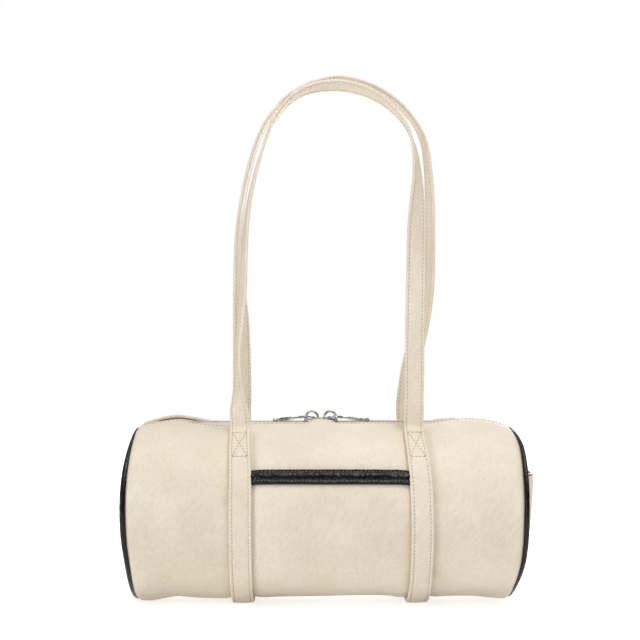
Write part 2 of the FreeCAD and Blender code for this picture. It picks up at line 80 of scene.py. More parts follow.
panel_low, panel_high = node_box("front_panel")
piping_low, piping_high = node_box("piping_left")
MIDDLE = (panel_low.x + panel_high.x) / 2
HALF_LENGTH = (panel_high.x - panel_low.x) / 2
RADIUS = -panel_low.y
AXIS = (piping_low.z + piping_high.z) / 2
print(f"barrel {2 * HALF_LENGTH:.0f} mm long, {2 * RADIUS:.0f} mm across, axis {AXIS:.1f} mm above the floor")

# %% [markdown]
# ## Camera, light and floor
# The photograph was taken level, from over a metre away, a little above the barrel. A long lens at that
# distance gives the same slight perspective. The light is soft: a bright world fills the shadows, a large
# lamp above gives the barrel its roundness, one at the left lifts its shaded side, and one behind keeps the
# back from going grey. The background is white for rays that come straight from the camera or off a
# polished piece, and only for those, so that it adds no light to the leather. Metal would vanish where all
# is white, so what a polished piece mirrors near the horizon is dark.

# %% Node helpers
WHITE = (1, 1, 1, 1)


def tint(red, green, blue):
    """A colour as it looks on a screen, from 0 to 255, as the linear colour that a shader takes."""
    def linear(value):
        share = value / 255
        return share / 12.92 if share <= 0.04045 else ((share + 0.055) / 1.055) ** 2.4
    return (linear(red), linear(green), linear(blue), 1.0)


def feed(tree, made, sockets):
    """Gives a node's sockets their values. A value that is itself a socket is linked."""
    for label, value in sockets.items():
        if isinstance(value, bpy.types.NodeSocket):
            tree.links.new(value, made.inputs[label])
        else:
            made.inputs[label].default_value = value


def node(tree, kind, sockets=None, **settings):
    """Adds a node with its settings and the values of its sockets."""
    made = tree.nodes.new(f"ShaderNode{kind}")
    for name, value in settings.items():
        setattr(made, name, value)
    feed(tree, made, sockets or {})
    return made


def math_step(tree, operation, *values):
    """One step of arithmetic on sockets and numbers."""
    return node(tree, "Math", dict(enumerate(values)), operation=operation).outputs[0]


def ranged(tree, value, start=0.0, end=1.0, low=0.0, high=1.0, **settings):
    """Turns a value that runs from start to end into one that runs from low to high."""
    sockets = {"Value": value, "From Min": start, "From Max": end, "To Min": low, "To Max": high}
    return node(tree, "MapRange", sockets, **settings).outputs[0]


def mixed(tree, share, first, second, **settings):
    """A colour between two others, each a colour or a socket. They are inputs 6 and 7 of the node."""
    return node(tree, "Mix", {"Factor": share, 6: first, 7: second}, data_type="RGBA", **settings).outputs[2]


def raised(tree, height, relief):
    """A bump from a height socket, relief metres deep."""
    return node(tree, "Bump", {"Height": height, "Distance": relief}).outputs["Normal"]


def new_group(name, inputs, outputs):
    """A shader node group with number inputs, given with their start values, and number outputs."""
    group = bpy.data.node_groups.new(name, "ShaderNodeTree")
    for label, value in inputs.items():
        socket = group.interface.new_socket(label, in_out="INPUT", socket_type="NodeSocketFloat")
        socket.default_value = value
    for label in outputs:
        group.interface.new_socket(label, in_out="OUTPUT", socket_type="NodeSocketFloat")
    return group, group.nodes.new("NodeGroupInput").outputs, group.nodes.new("NodeGroupOutput")


def new_finish(name):
    """A new material, with its node tree and its shader."""
    material = bpy.data.materials.new(name)
    material.use_nodes = True
    return material, material.node_tree, material.node_tree.nodes["Principled BSDF"]


# %% Camera
CAMERA_PLACE = Vector((-10.1, -1300, 241.9))
LENS = 84.5
camera = bpy.data.objects.new("camera", bpy.data.cameras.new("camera"))
camera.data.lens = LENS
camera.location = CAMERA_PLACE * MM
camera.rotation_euler = (math.pi / 2, 0, 0)
bpy.context.scene.collection.objects.link(camera)
bpy.context.scene.camera = camera
bpy.context.scene.view_settings.view_transform = "Standard"
print("camera", tuple(round(value) for value in CAMERA_PLACE), "mm")


# %% World
def seen_rays(tree):
    """1 for rays from the camera, off metal and through glass, and 0 for light on the bag."""
    path = node(tree, "LightPath").outputs
    seen = path["Is Camera Ray"]
    for kind in ("Is Glossy Ray", "Is Transmission Ray"):
        seen = math_step(tree, "MAXIMUM", seen, path[kind])
    return seen


WORLD_LIGHT = 0.39
HORIZON_DARK = 0.9  # how much of the white a mirrored horizon lacks
HORIZON_FADE = (0.3, 0.85)  # how high a direction points where that dark starts to fade and where it has gone
world = bpy.data.worlds.new("studio")
world.use_nodes = True
bpy.context.scene.world = world
sky = world.node_tree
plain = ranged(sky, seen_rays(sky), low=WORLD_LIGHT)
direction = node(sky, "SeparateXYZ", {0: node(sky, "TexCoord").outputs["Generated"]})
dark = ranged(sky, direction.outputs["Z"], *HORIZON_FADE, HORIZON_DARK, 0.0, interpolation_type="SMOOTHSTEP")
mirrored = math_step(sky, "MULTIPLY", dark, node(sky, "LightPath").outputs["Is Glossy Ray"])
brightness = math_step(sky, "SUBTRACT", plain, mirrored)
feed(sky, sky.nodes["Background"], {"Color": WHITE, "Strength": brightness})
print("a white world that lights the bag with", WORLD_LIGHT)

# %% Lamps
# (place in metres, width in metres, watts)
LAMPS = {
    "key_lamp": ((0.4, -0.6, 1.75), 1.1, 18),
    "fill_lamp": ((-1.6, -1.1, 0.3), 1.0, 13),
    "back_lamp": ((0.5, 1.7, 0.6), 1.0, 14),
}
for lamp_name, (place, width, watts) in LAMPS.items():
    lamp = bpy.data.objects.new(lamp_name, bpy.data.lights.new(lamp_name, "AREA"))
    lamp.data.size = width
    lamp.data.energy = watts
    lamp.location = place
    aim = Vector((MIDDLE, 0, AXIS)) * MM - lamp.location
    lamp.rotation_euler = aim.to_track_quat("-Z", "Y").to_euler()
    bpy.context.scene.collection.objects.link(lamp)
print(len(LAMPS), "soft lamps")

# %% Floor
FLOOR_REACH = 8.0  # metres
FLOOR_PAINT = (0.86, 0.86, 0.86, 1)
FLOOR_LIGHT = 0.12  # what the floor adds to its own white for light on the bag, and where it is seen
FLOOR_GLOW = 0.66
floor_pattern = bmesh.new()
bmesh.ops.create_grid(floor_pattern, x_segments=1, y_segments=1, size=FLOOR_REACH)
floor_mesh = bpy.data.meshes.new("floor")
floor_pattern.to_mesh(floor_mesh)
floor_pattern.free()
floor = bpy.data.objects.new("floor", floor_mesh)
bpy.context.scene.collection.objects.link(floor)
floor_paint, floor_tree, floor_shader = new_finish("floor_paint")
feed(floor_tree, floor_shader, {
    "Base Color": FLOOR_PAINT,
    "Roughness": 1.0,
    "Emission Color": WHITE,
    "Emission Strength": ranged(floor_tree, seen_rays(floor_tree), low=FLOOR_LIGHT, high=FLOOR_GLOW),
})
floor_mesh.materials.append(floor_paint)
print(f"a floor {2 * FLOOR_REACH:.0f} m wide")

# %% [markdown]
# ## Finishes
# Smooth coated leather isn't one flat colour. It has cloudy patches, faint drag lines where the hide was
# pulled on the slant, and a very fine pebble. An image could hold that, but a pattern of noise has no edges
# and no limit of sharpness. The pattern is one node group, which the cream and the black leather share with
# their own values. A second group weaves cloth along a piece's own flat pattern, so that the threads follow
# the piece round a bend.

# %% Leather pattern
DRAG_SLOPE = math.radians(62)
DRAG_STRETCH = 4.5
DRAG_RANGE = (0.42, 0.66)  # the part of the noise that shows as lines
DRAG_HEIGHT = 0.6  # heights are shares of the leather's relief
PEBBLE_HEIGHT = -0.25


def leather_group():
    scales = {"Cloud Scale": 24.0, "Drag Scale": 560.0, "Pebble Scale": 1300.0}
    group, given, put_out = new_group("leather_skin", scales, ("Clouds", "Drag", "Height"))
    place = node(group, "TexCoord").outputs["Object"]
    clouds = node(group, "TexNoise", {
        "Vector": place, "Scale": given["Cloud Scale"], "Detail": 4.0, "Roughness": 0.55,
    })
    slant = node(group, "Mapping", {
        "Vector": place, "Rotation": (0.0, -DRAG_SLOPE, 0.0), "Scale": (DRAG_STRETCH, 1.0, 1.0),
    }, vector_type="TEXTURE")
    drag = node(group, "TexNoise", {
        "Vector": slant.outputs["Vector"], "Scale": given["Drag Scale"], "Detail": 3.0, "Roughness": 0.6,
        "Distortion": 0.4,
    })
    lines = ranged(group, drag.outputs["Fac"], *DRAG_RANGE, interpolation_type="SMOOTHSTEP")
    pebble = node(group, "TexVoronoi", {"Vector": place, "Scale": given["Pebble Scale"]}, feature="SMOOTH_F1")
    pits = math_step(group, "MULTIPLY", pebble.outputs["Distance"], PEBBLE_HEIGHT)
    ridges = math_step(group, "MULTIPLY", lines, DRAG_HEIGHT)
    height = math_step(group, "ADD", pits, ridges)
    feed(group, put_out, {"Clouds": clouds.outputs["Fac"], "Drag": lines, "Height": height})
    return group


LEATHER_SKIN = leather_group()
CLOUD_RANGE = (0.35, 0.65)
CLOUD_POLISH = 0.06  # how far the clouds move the roughness up and down
DRAG_BLUE = 0.985  # a drag line is a little warmer than the leather
LEATHER_SHINE = 0.3


def leather(name, light, dark, drag_shade, roughness, relief, scales=None):
    """A leather of two close colours. Drag lines multiply it by drag_shade. relief is its bump in metres."""
    material, tree, shader = new_finish(name)
    skin = node(tree, "Group", scales, node_tree=LEATHER_SKIN).outputs
    patches = mixed(tree, ranged(tree, skin["Clouds"], *CLOUD_RANGE), dark, light)
    dragged = (drag_shade, drag_shade, drag_shade * DRAG_BLUE, 1)
    polish = ranged(tree, skin["Clouds"], low=roughness + CLOUD_POLISH, high=roughness - CLOUD_POLISH)
    feed(tree, shader, {
        "Base Color": mixed(tree, skin["Drag"], patches, dragged, blend_type="MULTIPLY"),
        "Roughness": polish,
        "Specular IOR Level": LEATHER_SHINE,
        "Normal": raised(tree, skin["Height"], relief),
    })
    return material


CREAM = leather("cream_leather", tint(240, 229, 212), tint(232, 219, 199),
                drag_shade=0.94, roughness=0.5, relief=0.0002)
BLACK = leather("black_leather", tint(8, 8, 8), tint(3, 3, 3), drag_shade=0.7, roughness=0.2, relief=0.0003,
                scales={"Cloud Scale": 120.0, "Drag Scale": 500.0, "Pebble Scale": 800.0})
print("cream and black leather")

# %% Cloth pattern
HALF_WAVE = 0.5


def weave_group():
    """Over and under threads on a piece's flat pattern. Counts are threads over its length and width."""
    counts = {"Threads Along": 400.0, "Threads Across": 40.0}
    group, given, put_out = new_group("plain_weave", counts, ("Threads", "Fuzz"))
    coordinates = node(group, "TexCoord").outputs
    flat = node(group, "SeparateXYZ", {0: coordinates["UV"]}).outputs
    waves = []
    for axis, label in zip("XY", counts):
        turns = math_step(group, "MULTIPLY", flat[axis], given[label])
        waves.append(math_step(group, "SINE", math_step(group, "MULTIPLY", turns, math.tau)))
    crossing = math_step(group, "MULTIPLY", *waves)
    fuzz = node(group, "TexNoise", {"Vector": coordinates["Object"], "Scale": 900.0, "Detail": 2.0})
    threads = math_step(group, "MULTIPLY_ADD", crossing, HALF_WAVE, HALF_WAVE)
    feed(group, put_out, {"Threads": threads, "Fuzz": fuzz.outputs["Fac"]})
    return group


WEAVE = weave_group()


def cloth(name, light, dark, relief, threads):
    """A woven cloth. Low in the threads' waves its dark colour is mixed in, at most by half, as painted shade
    between the threads.
    """
    material, tree, shader = new_finish(name)
    woven = node(tree, "Group", threads, node_tree=WEAVE).outputs
    height = math_step(tree, "ADD", woven["Threads"], woven["Fuzz"])
    feed(tree, shader, {
        # the dark colour low in the weave is painted shade between the threads
        "Base Color": mixed(tree, ranged(tree, woven["Threads"], -HALF_WAVE, HALF_WAVE), dark, light),
        "Roughness": 0.9,
        "Sheen Weight": 0.15,
        "Normal": raised(tree, height, relief),
    })
    return material


TAPE_CLOTH = cloth("zip_tape_cloth", tint(236, 229, 218), tint(206, 196, 181), relief=0.0002,
                   threads={"Threads Along": 230.0, "Threads Across": 12.0})
LINING_CLOTH = cloth("lining_cloth", tint(205, 190, 168), tint(170, 154, 132), relief=0.00015,
                     threads={"Threads Along": 420.0, "Threads Across": 560.0})
print("zip tape and lining cloth")

# %% Metal, thread, teeth and board
GRAIN_POLISH = 0.2  # how far the grain moves the roughness up and down, as a share of it


def plain_finish(name, light, dark, scale, roughness, relief=0.0, spread=0.5, sockets=None):
    """A finish whose colour and polish change over a fine noise, the more sharply the smaller its spread."""
    material, tree, shader = new_finish(name)
    place = node(tree, "TexCoord").outputs["Object"]
    grain = node(tree, "TexNoise", {"Vector": place, "Scale": scale, "Detail": 3.0}).outputs["Fac"]
    colour = mixed(tree, ranged(tree, grain, 0.5 - spread, 0.5 + spread), dark, light)
    polish = ranged(tree, grain, low=roughness * (1 - GRAIN_POLISH), high=roughness * (1 + GRAIN_POLISH))
    feed(tree, shader, {"Base Color": colour, "Roughness": polish, **(sockets or {})})
    if relief:
        feed(tree, shader, {"Normal": raised(tree, grain, relief)})
    return material


# Painted reflection: the nickel's sharp light and dark patches stand in for bright and dark surroundings
# mirrored in the metal.
NICKEL_PAINTED_REFLECTIONS = plain_finish("nickel_with_painted_reflections", tint(226, 223, 218), tint(112, 108, 102), scale=300.0,
                      roughness=0.17, spread=0.18,
                      sockets={"Metallic": 1.0, "Specular Tint": tint(60, 58, 56)})
# The beige thread is a little darker than the leather; it is darker still as painted shade of the stitch
# holes.
THREAD = plain_finish("beige_thread_and_painted_hole_shade", tint(204, 189, 167), tint(174, 157, 135), scale=2600.0,
                      roughness=0.7, relief=0.0001)
# The binding's thread is black and glossy: its grey is painted highlight, the shine that the thread catches.
GREY_THREAD_PAINTED_SHINE = plain_finish("grey_thread_painted_shine", tint(122, 120, 116), tint(60, 59, 57), scale=900.0,
                           roughness=0.32, relief=0.0001)
TOOTH = plain_finish("zip_tooth_plastic", tint(226, 217, 200), tint(208, 198, 180), scale=500.0,
                     roughness=0.42, relief=0.00003)
BOARD = plain_finish("grey_board", tint(205, 203, 197), tint(186, 183, 176), scale=260.0,
                     roughness=0.9, relief=0.0001)

# %% [markdown]
# ## One soft barrel for every piece
# On the real bag the leather isn't a true cylinder: the bands hold it in, it swells between the bands and
# the piping, and the ends sag. All pieces lie on that one shape, so it is one function. Its values are how
# far the leather stands out from the frame's circle at stations along the barrel, at the top, the sides and
# the bottom, and a smooth curve runs through the stations. Angles start at the back and go over the top to
# the front.


# %% Smooth curves
def through(stations, place):
    """A smooth curve through (place, value) stations, read at a place. It stays level past both ends."""
    index = bisect_right(stations, place, key=lambda station: station[0]) - 1
    if index < 0:
        return stations[0][1]
    if index >= len(stations) - 1:
        return stations[-1][1]

    def slope(at):
        before, after = stations[max(at - 1, 0)], stations[min(at + 1, len(stations) - 1)]
        return (after[1] - before[1]) / (after[0] - before[0])

    (start, low), (end, high) = stations[index], stations[index + 1]
    share = (place - start) / (end - start)
    rest = 1 - share
    bend = (slope(index) * rest - slope(index + 1) * share) * (end - start) * share * rest
    return low * (1 + 2 * share) * rest * rest + high * (3 - 2 * share) * share * share + bend


FLAT_TOP = 4  # the power for a line with a level top


def near(distance, width, power=2):
    """1 on a line, about a third at its width, nearly 0 at twice that. A higher power has a flatter top."""
    return math.exp(-abs(distance / width) ** power)


# %% The barrel's stations
# (millimetres along the barrel from its middle, millimetres out from the circle)
TOP_SWELL = (
    (-162, -5.6), (-157, -2.0), (-151, 0.4), (-139, 3.2), (-128, 4.2), (-117, 2.8), (-104, 0.5), (-82, -2.0),
    (-62, -0.7), (0, -0.8), (62, -0.6), (82, -1.5), (104, 1.0), (118, 2.2), (129, 1.9), (142, 0.6),
    (151, -1.4), (157, -3.0), (162, -5.6),
)
SIDE_SWELL = (
    (-162, -1.8), (-152, -0.5), (-130, 1.2), (-104, 0.8), (-86, -0.8), (-71, -1.4), (-54, -0.5), (0, 0.6),
    (58, -0.5), (77, -1.4), (92, -0.8), (110, 0.8), (130, 1.0), (152, -0.5), (162, -1.6),
)
BOTTOM_SWELL = (
    (-162, -0.8), (-152, 0.9), (-140, -0.9), (-128, -2.9), (-108, -1.4), (-73, -0.6), (-50, -2.2), (0, -3.4),
    (50, -3.6), (73, -0.6), (104, -3.2), (126, -3.4), (146, -1.4), (154, -1.0), (162, -2.0),
)
# How far the left (-1) and right (1) rim lean towards the middle: (height above the axis as a share of the
# radius, millimetres). Below 0 the rim is pushed out.
RIM_LEAN = {
    -1: ((-1.0, 1.5), (-0.9, 0.9), (-0.5, 0.1), (-0.25, -1.2), (0.0, -1.9), (0.25, -2.3), (0.5, -2.1),
         (0.7, -1.4), (0.85, -0.6), (1.0, 0.0)),
    1: ((-1.0, 6.3), (-0.85, 5.0), (-0.7, 3.3), (-0.5, 1.3), (-0.25, 0.3), (0.0, 0.0), (0.25, -0.4),
        (0.5, -0.6), (0.7, -0.7), (0.8, -0.4), (0.9, 0.9), (1.0, 4.0)),
}
RIM_SHARPNESS = 7
CUT_RISE = math.radians(62)  # how far above level a band ends and the strap's own piece starts
# (turn from the back over the top, millimetres along the barrel) down the front, under and up the back
BAND_LINES = {
    "left": ((1.9, -72.8), (2.2, -72.2), (2.67, -70.4), (math.pi, -70.0), (4.0, -70.1), (4.71, -70.4),
             (5.6, -71.4), (7.6, -74.2)),
    "right": ((1.9, 74.0), (2.2, 74.8), (2.67, 77.6), (math.pi, 78.8), (3.7, 78.8), (4.4, 78.0), (4.71, 77.6),
              (5.6, 75.6), (7.6, 70.8)),
}
BAND_ENDS = (math.pi - CUT_RISE, math.tau + CUT_RISE)
PINCH = 1.8  # how far a band's seams pull the leather in, and how far to each side that is felt
PINCH_REACH = 13
PINCH_FADE = 0.2  # the pull fades out over this turn past a band's end
RIPPLE = 0.55
RIPPLE_LENGTH = 48
FLOOR_CLEARANCE = 0.1


# %% The barrel's surface
def pinch(along, turn):
    """How far the nearer band pulls the leather in at a place."""
    turn = (turn - math.pi / 2) % math.tau + math.pi / 2
    from_end = min(turn - BAND_ENDS[0], BAND_ENDS[1] - turn) / PINCH_FADE
    line = BAND_LINES["left" if along < 0 else "right"]
    return PINCH * min(max(1 + from_end, 0.0), 1.0) * near(along - through(line, turn), PINCH_REACH, FLAT_TOP)


def rim_lean(along, turn):
    lean = through(RIM_LEAN[1 if along > 0 else -1], math.sin(turn))
    return lean * (abs(along) / HALF_LENGTH) ** RIM_SHARPNESS


def barrel_point(along, turn, lift=0.0):
    """A point on the leather, or lift millimetres out from it."""
    up = math.sin(turn)
    swell = through(TOP_SWELL, along) * max(up, 0) ** 2
    swell += through(BOTTOM_SWELL, along) * max(-up, 0) ** 2
    swell += through(SIDE_SWELL, along) * math.cos(turn) ** 2
    place = Vector((along, RADIUS * math.cos(turn), RADIUS * up)) / RIPPLE_LENGTH
    radius = RADIUS + swell - pinch(along, turn) + RIPPLE * noise.noise(place) + lift
    x = MIDDLE + along - math.copysign(1, along) * rim_lean(along, turn)
    return Vector((x, radius * math.cos(turn), max(AXIS + radius * up, FLOOR_CLEARANCE)))


print("top of the leather in the middle", round(barrel_point(0, math.pi / 2).z, 1), "mm above the floor")

# %% [markdown]
# ## From a pattern to a piece
# A pattern is a grid from 0 to 1 each way, and wrapping moves its points. The thickness comes from
# Solidify, which thickens a sheet evenly where scaling a copy would not. A closed strip, such as a strap,
# is a pattern whose second direction runs round the strip's outline: wrapped, its two long edges meet, are
# merged, and the ends are filled. A wire or cord is simpler: a small circle, spun about an axis.

# %% Pattern helpers
MERGE = 1e-4  # points nearer to each other than this are one


def flat_pattern(columns, rows):
    """A grid from 0 to 1 each way, whose UV map is the same flat pattern."""
    pattern = bmesh.new()
    pattern.loops.layers.uv.new("flat")
    bmesh.ops.create_grid(pattern, x_segments=columns, y_segments=rows, size=0.5, calc_uvs=True)
    bmesh.ops.translate(pattern, vec=(0.5, 0.5, 0.0), verts=pattern.verts)
    return pattern


def wrapped(columns, rows, place, flip=False):
    """A flat pattern whose points are moved to place(x, y). flip turns its faces round."""
    pattern = flat_pattern(columns, rows)
    for vert in pattern.verts:
        vert.co = place(vert.co.x, vert.co.y)
    if flip:
        bmesh.ops.reverse_faces(pattern, faces=pattern.faces)
    return pattern


def face_outwards(shape):
    """Turns faces outwards. The operator can get a thin dished disc wrong: its volume is then negative."""
    bmesh.ops.recalc_face_normals(shape, faces=shape.faces)
    if shape.calc_volume(signed=True) < 0:
        bmesh.ops.reverse_faces(shape, faces=shape.faces)


def close_ends(shape):
    bmesh.ops.holes_fill(shape, edges=[edge for edge in shape.edges if edge.is_boundary], sides=0)
    face_outwards(shape)


def sweep(outline, length, step, place):
    """A closed strip. outline is its section as (across, lift), and place(run, across, lift) its surface."""
    strip = flat_pattern(max(1, round(length / step)), len(outline))
    for vert in strip.verts:
        across, lift = outline[round(vert.co.y * len(outline)) % len(outline)]
        vert.co = place(vert.co.x * length, across, lift)
    bmesh.ops.remove_doubles(strip, verts=strip.verts, dist=MERGE)
    close_ends(strip)
    return strip


def bend_wire(shape, radius, section_place, axis, segments, steps, centre=(0, 0, 0), angle=math.tau):
    """Adds a round wire that is bent about an axis. section_place puts its section beside that axis."""
    section = bmesh.ops.create_circle(shape, segments=segments, radius=radius, matrix=section_place)["verts"]
    edges = dict.fromkeys(edge for vert in section for edge in vert.link_edges)
    bmesh.ops.spin(shape, geom=section + list(edges), axis=axis, cent=centre, angle=angle, steps=steps,
                   use_merge=angle == math.tau)


def show(name, shape, finish, *replaced, body="bag", sharp=None, thickness=0.0):
    """Makes a bmesh a finished piece that rides on a body. A thickness grows inwards from the sheet."""
    bmesh.ops.scale(shape, vec=(MM, MM, MM), verts=shape.verts)
    for face in shape.faces:
        face.smooth = True
    mesh = bpy.data.meshes.new(name)
    shape.to_mesh(mesh)
    shape.free()
    if sharp is not None:
        mesh.set_sharp_from_angle(angle=math.radians(sharp))
    mesh.materials.append(finish)
    made = bpy.data.objects.new(name, mesh)
    bpy.context.scene.collection.objects.link(made)
    if thickness:
        wall = made.modifiers.new("wall", "SOLIDIFY")
        wall.thickness = thickness * MM
        wall.offset = -1.0
        wall.use_even_offset = True
    if replaced:
        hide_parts(*replaced)
    if body:
        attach(made, body)
    print(f"{name}: {len(mesh.polygons)} faces")
    return made


# %% [markdown]
# ## Stitches
# A seam is a row of short threads that dip into the leather at both ends. A line of paint would look flat
# from the side, so each stitch is a stretched ball of 24 faces. It lies on its piece's own surface: a line
# is drawn on the flat pattern and cut into steps, and the surface function puts each stitch in its place
# and gives its direction.

# %% Stitch helper
STITCH_PITCH = 3.4
STITCH_LENGTH = 2.5
STITCH_WIDTH = 0.85
STITCH_FLATNESS = 1.3  # how much wider than high a stitch is
STITCH_SLANT = math.radians(7)
THREAD_LIFT = 0.1
PRESSED = 0.5  # where a millimetre of lift moves a point less than this, the floor presses the leather flat


def sew(name, lines, place, finish, pitch=STITCH_PITCH, lift=THREAD_LIFT, body="bag"):
    """Stitches along lines of a flat pattern. Each line is two points, and place(a, b, lift) the surface."""
    seam = bmesh.new()
    thread = bpy.data.meshes.new("thread")
    length = STITCH_LENGTH * pitch / STITCH_PITCH
    size = Matrix.Diagonal((STITCH_WIDTH / 2, STITCH_WIDTH / 2 / STITCH_FLATNESS, length / 2, 1))
    for start, end in lines:
        start, end = Vector(start), Vector(end)
        count = max(1, round((end - start).length / pitch))
        step = (end - start) / count
        for number in range(count):
            middle = start + step * (number + 0.5)
            here = place(*middle, lift)
            ahead = place(*(middle + step / 5), lift) - place(*(middle - step / 5), lift)
            out = place(*middle, lift + 1) - here
            if out.length < PRESSED:
                continue
            out.normalize()
            side = out.cross(ahead).normalized()
            along = side.cross(out) * math.cos(STITCH_SLANT) + side * math.sin(STITCH_SLANT)
            turn = Matrix((out.cross(along), out, along)).transposed().to_4x4()
            stitch = bmesh.new()
            bmesh.ops.create_uvsphere(stitch, u_segments=6, v_segments=4, radius=1,
                                      matrix=Matrix.Translation(here) @ turn @ size)
            stitch.to_mesh(thread)
            stitch.free()
            seam.from_mesh(thread)
    bpy.data.meshes.remove(thread)
    return show(name, seam, finish, body=body)


# %% [markdown]
# ## The barrel's two panels
# The front and the back panel meet in a seam under the bottom. At the mouth each is turned in and sewn
# down, which makes a round lip. A thin edge there would look like card, so the pattern has a turn-in that
# rolls under the lip. The lip dips a little along its seam, puckers between the stitches, and stands up
# where the two sliders meet. The front lip hangs lower on the left and the back one on the right, as soft
# leather does.

# %% Front and back panel
MOUTH = 22
FOLD = 1.3
TURN_IN = 9.0
LEATHER = 1.2
LIP_SEAM = 2.0
LIP_SEAM_INSET = 6
# How far the front (-1) and back (1) lip stand up: (millimetres along the barrel, millimetres)
LIP_RISE = {
    -1: ((-162, 0.0), (-145, -1.6), (-122, -2.7), (-95, -1.5), (-70, -0.6), (-40, 0.0), (70, 0.0), (85, 0.4),
         (105, 1.1), (125, 1.5), (150, 0.8), (162, 0.0)),
    1: ((-162, 0.3), (-122, 0.8), (-70, 0.7), (60, 0.7), (90, 1.2), (106, 1.2), (125, -0.6), (150, -0.8),
        (162, 0.0)),
}
LIP_REACH = 14  # how far down the leather that is felt
SLIDER_RISE = 3.2  # how far the lip stands up over the sliders, and how far along
SLIDER_RISE_REACH = 10.5
PUCKER = 0.35
PUCKER_LENGTH = 6
PUCKER_DEPTH = 30
PUCKER_REACH = 5
# Seams draw the leather in: (millimetres deep, millimetres wide)
LIP_DIP = (0.35, 1.1)
FOOT_DIP = (1.3, 1.8)
RIM_DIP = (1.1, 1.8)
RIM_ROLL = (0.6, 2.4)  # the roll beside the piping: (millimetres high, millimetres wide)
RIM_ROLL_INSET = 4.0
LIP_TURN = math.asin(MOUTH / 2 / RADIUS)
PANEL_HEIGHT = RADIUS * (math.pi - LIP_TURN)
SLIDERS_MEET = (node_box("slider_left")[1].x + node_box("slider_right")[0].x) / 2 - MIDDLE
PANEL_GRID = (170, 120)


def panel_point(side, along, down, lift=0.0):
    """A point of the front (-1) or back (1) panel, down millimetres from its lip along the leather."""
    def ridge(size, distance):
        return size[0] * near(distance, size[1])

    to_rim = HALF_LENGTH - abs(along)
    rise = SLIDER_RISE * near(along - SLIDERS_MEET, SLIDER_RISE_REACH, FLAT_TOP)
    rise += through(LIP_RISE[side], along)
    pucker = PUCKER * noise.noise(Vector((along / PUCKER_LENGTH, side, down / PUCKER_DEPTH)))
    lift += rise * near(down, LIP_REACH) + pucker * near(down - LIP_SEAM, PUCKER_REACH)
    lift += ridge(RIM_ROLL, to_rim - RIM_ROLL_INSET) - ridge(RIM_DIP, to_rim)
    lift -= ridge(LIP_DIP, down - LIP_SEAM) + ridge(FOOT_DIP, PANEL_HEIGHT - down)
    if down < 0:
        rolled = -down / FOLD
        lift -= FOLD * (1 - math.cos(min(rolled, math.pi)))
        down = -FOLD * math.sin(rolled) if rolled < math.pi else FOLD * (rolled - math.pi)
    return barrel_point(along, math.pi / 2 - side * (LIP_TURN + down / RADIUS), lift)


def panel(side, name):
    def place(x, y):
        down = y * y * (PANEL_HEIGHT + TURN_IN) - TURN_IN
        return panel_point(side, (2 * x - 1) * HALF_LENGTH, down)

    sheet = wrapped(*PANEL_GRID, place, flip=side < 0)
    show(f"{name}_leather", sheet, CREAM, name, thickness=LEATHER)
    seam_reach = HALF_LENGTH - LIP_SEAM_INSET
    line = ((-seam_reach, LIP_SEAM), (seam_reach, LIP_SEAM))
    sew(f"{name}_lip_stitches", [line], partial(panel_point, side), THREAD)


for side, word in FACES:
    panel(side, f"{word}_panel")

# %% [markdown]
# ## Ends and piping
# Each end is a round panel that domes a little, with a board behind it and a lining inside. A round profile
# turned about the barrel's axis makes a disc, and the rim of the soft barrel then pulls it out of round.
# The piping is a thin cord in black leather: a small circle spun round the axis, then led along the rim in
# the same way.

# %% Round pieces
ROUND_STEPS = 160
END_SAG = 2.4
END_CENTRE = AXIS - END_SAG
END_INSET = 3.4
DISC_RINGS = 18
DISC_MERGE = 1e-5  # as a share of the radius


def end_point(side, share, turn, height):
    """A point of an end: share 0 is its middle and 1 its rim, height is how far out from the rim's plane."""
    rim = barrel_point(side * HALF_LENGTH, turn, -END_INSET)
    place = Vector((0, 0, END_CENTRE)).lerp(rim, share)
    place.x = MIDDLE + side * (HALF_LENGTH - rim_lean(side * HALF_LENGTH, turn) * share + height)
    return place


def end_disc(side, profile, fullness=None):
    """A profile of (share, height) points, turned and set on an end. fullness may change a height."""
    disc = bmesh.new()
    verts = [disc.verts.new((height, share, 0.0)) for share, height in profile]
    edges = [disc.edges.new(pair) for pair in zip(verts, verts[1:])]
    bmesh.ops.spin(disc, geom=verts + edges, axis=(1, 0, 0), cent=(0, 0, 0), angle=math.tau,
                   steps=ROUND_STEPS, use_merge=True)
    bmesh.ops.remove_doubles(disc, verts=disc.verts, dist=DISC_MERGE)
    for vert in disc.verts:
        height, y, z = vert.co
        share, turn = math.hypot(y, z), math.atan2(z, y)
        if fullness:
            height = fullness(height, end_point(side, share, turn, 0).z)
        vert.co = end_point(side, share, turn, height)
    face_outwards(disc)
    return disc


def slab(outer, thickness, reach=1.0, rings=DISC_RINGS):
    """The closed profile of a dished disc: outer(share) is its outer face, and reach its radius."""
    shares = [reach * number / rings for number in range(rings + 1)]
    face = [(share, outer(share)) for share in shares]
    return face + [(share, height - thickness) for share, height in reversed(face)]


def dome(height, edge):
    """A face that stands height out in the middle and edge at the rim."""
    return lambda share: edge + (height - edge) * (1 - share ** 2)


# %% End panels, boards, linings and piping
END_REACH = MIDDLE - HALF_LENGTH - node_box("end_panel_left")[0].x
END_EDGE = 1.0
END_LEATHER = 1.4
BOARD_SET_BACK = 1.8
BOARD_THICKNESS = 1.8
CLOTH_THICKNESS = 0.5
LINING_GAP = 0.2
LINING_BACK = BOARD_SET_BACK + BOARD_THICKNESS + LINING_GAP
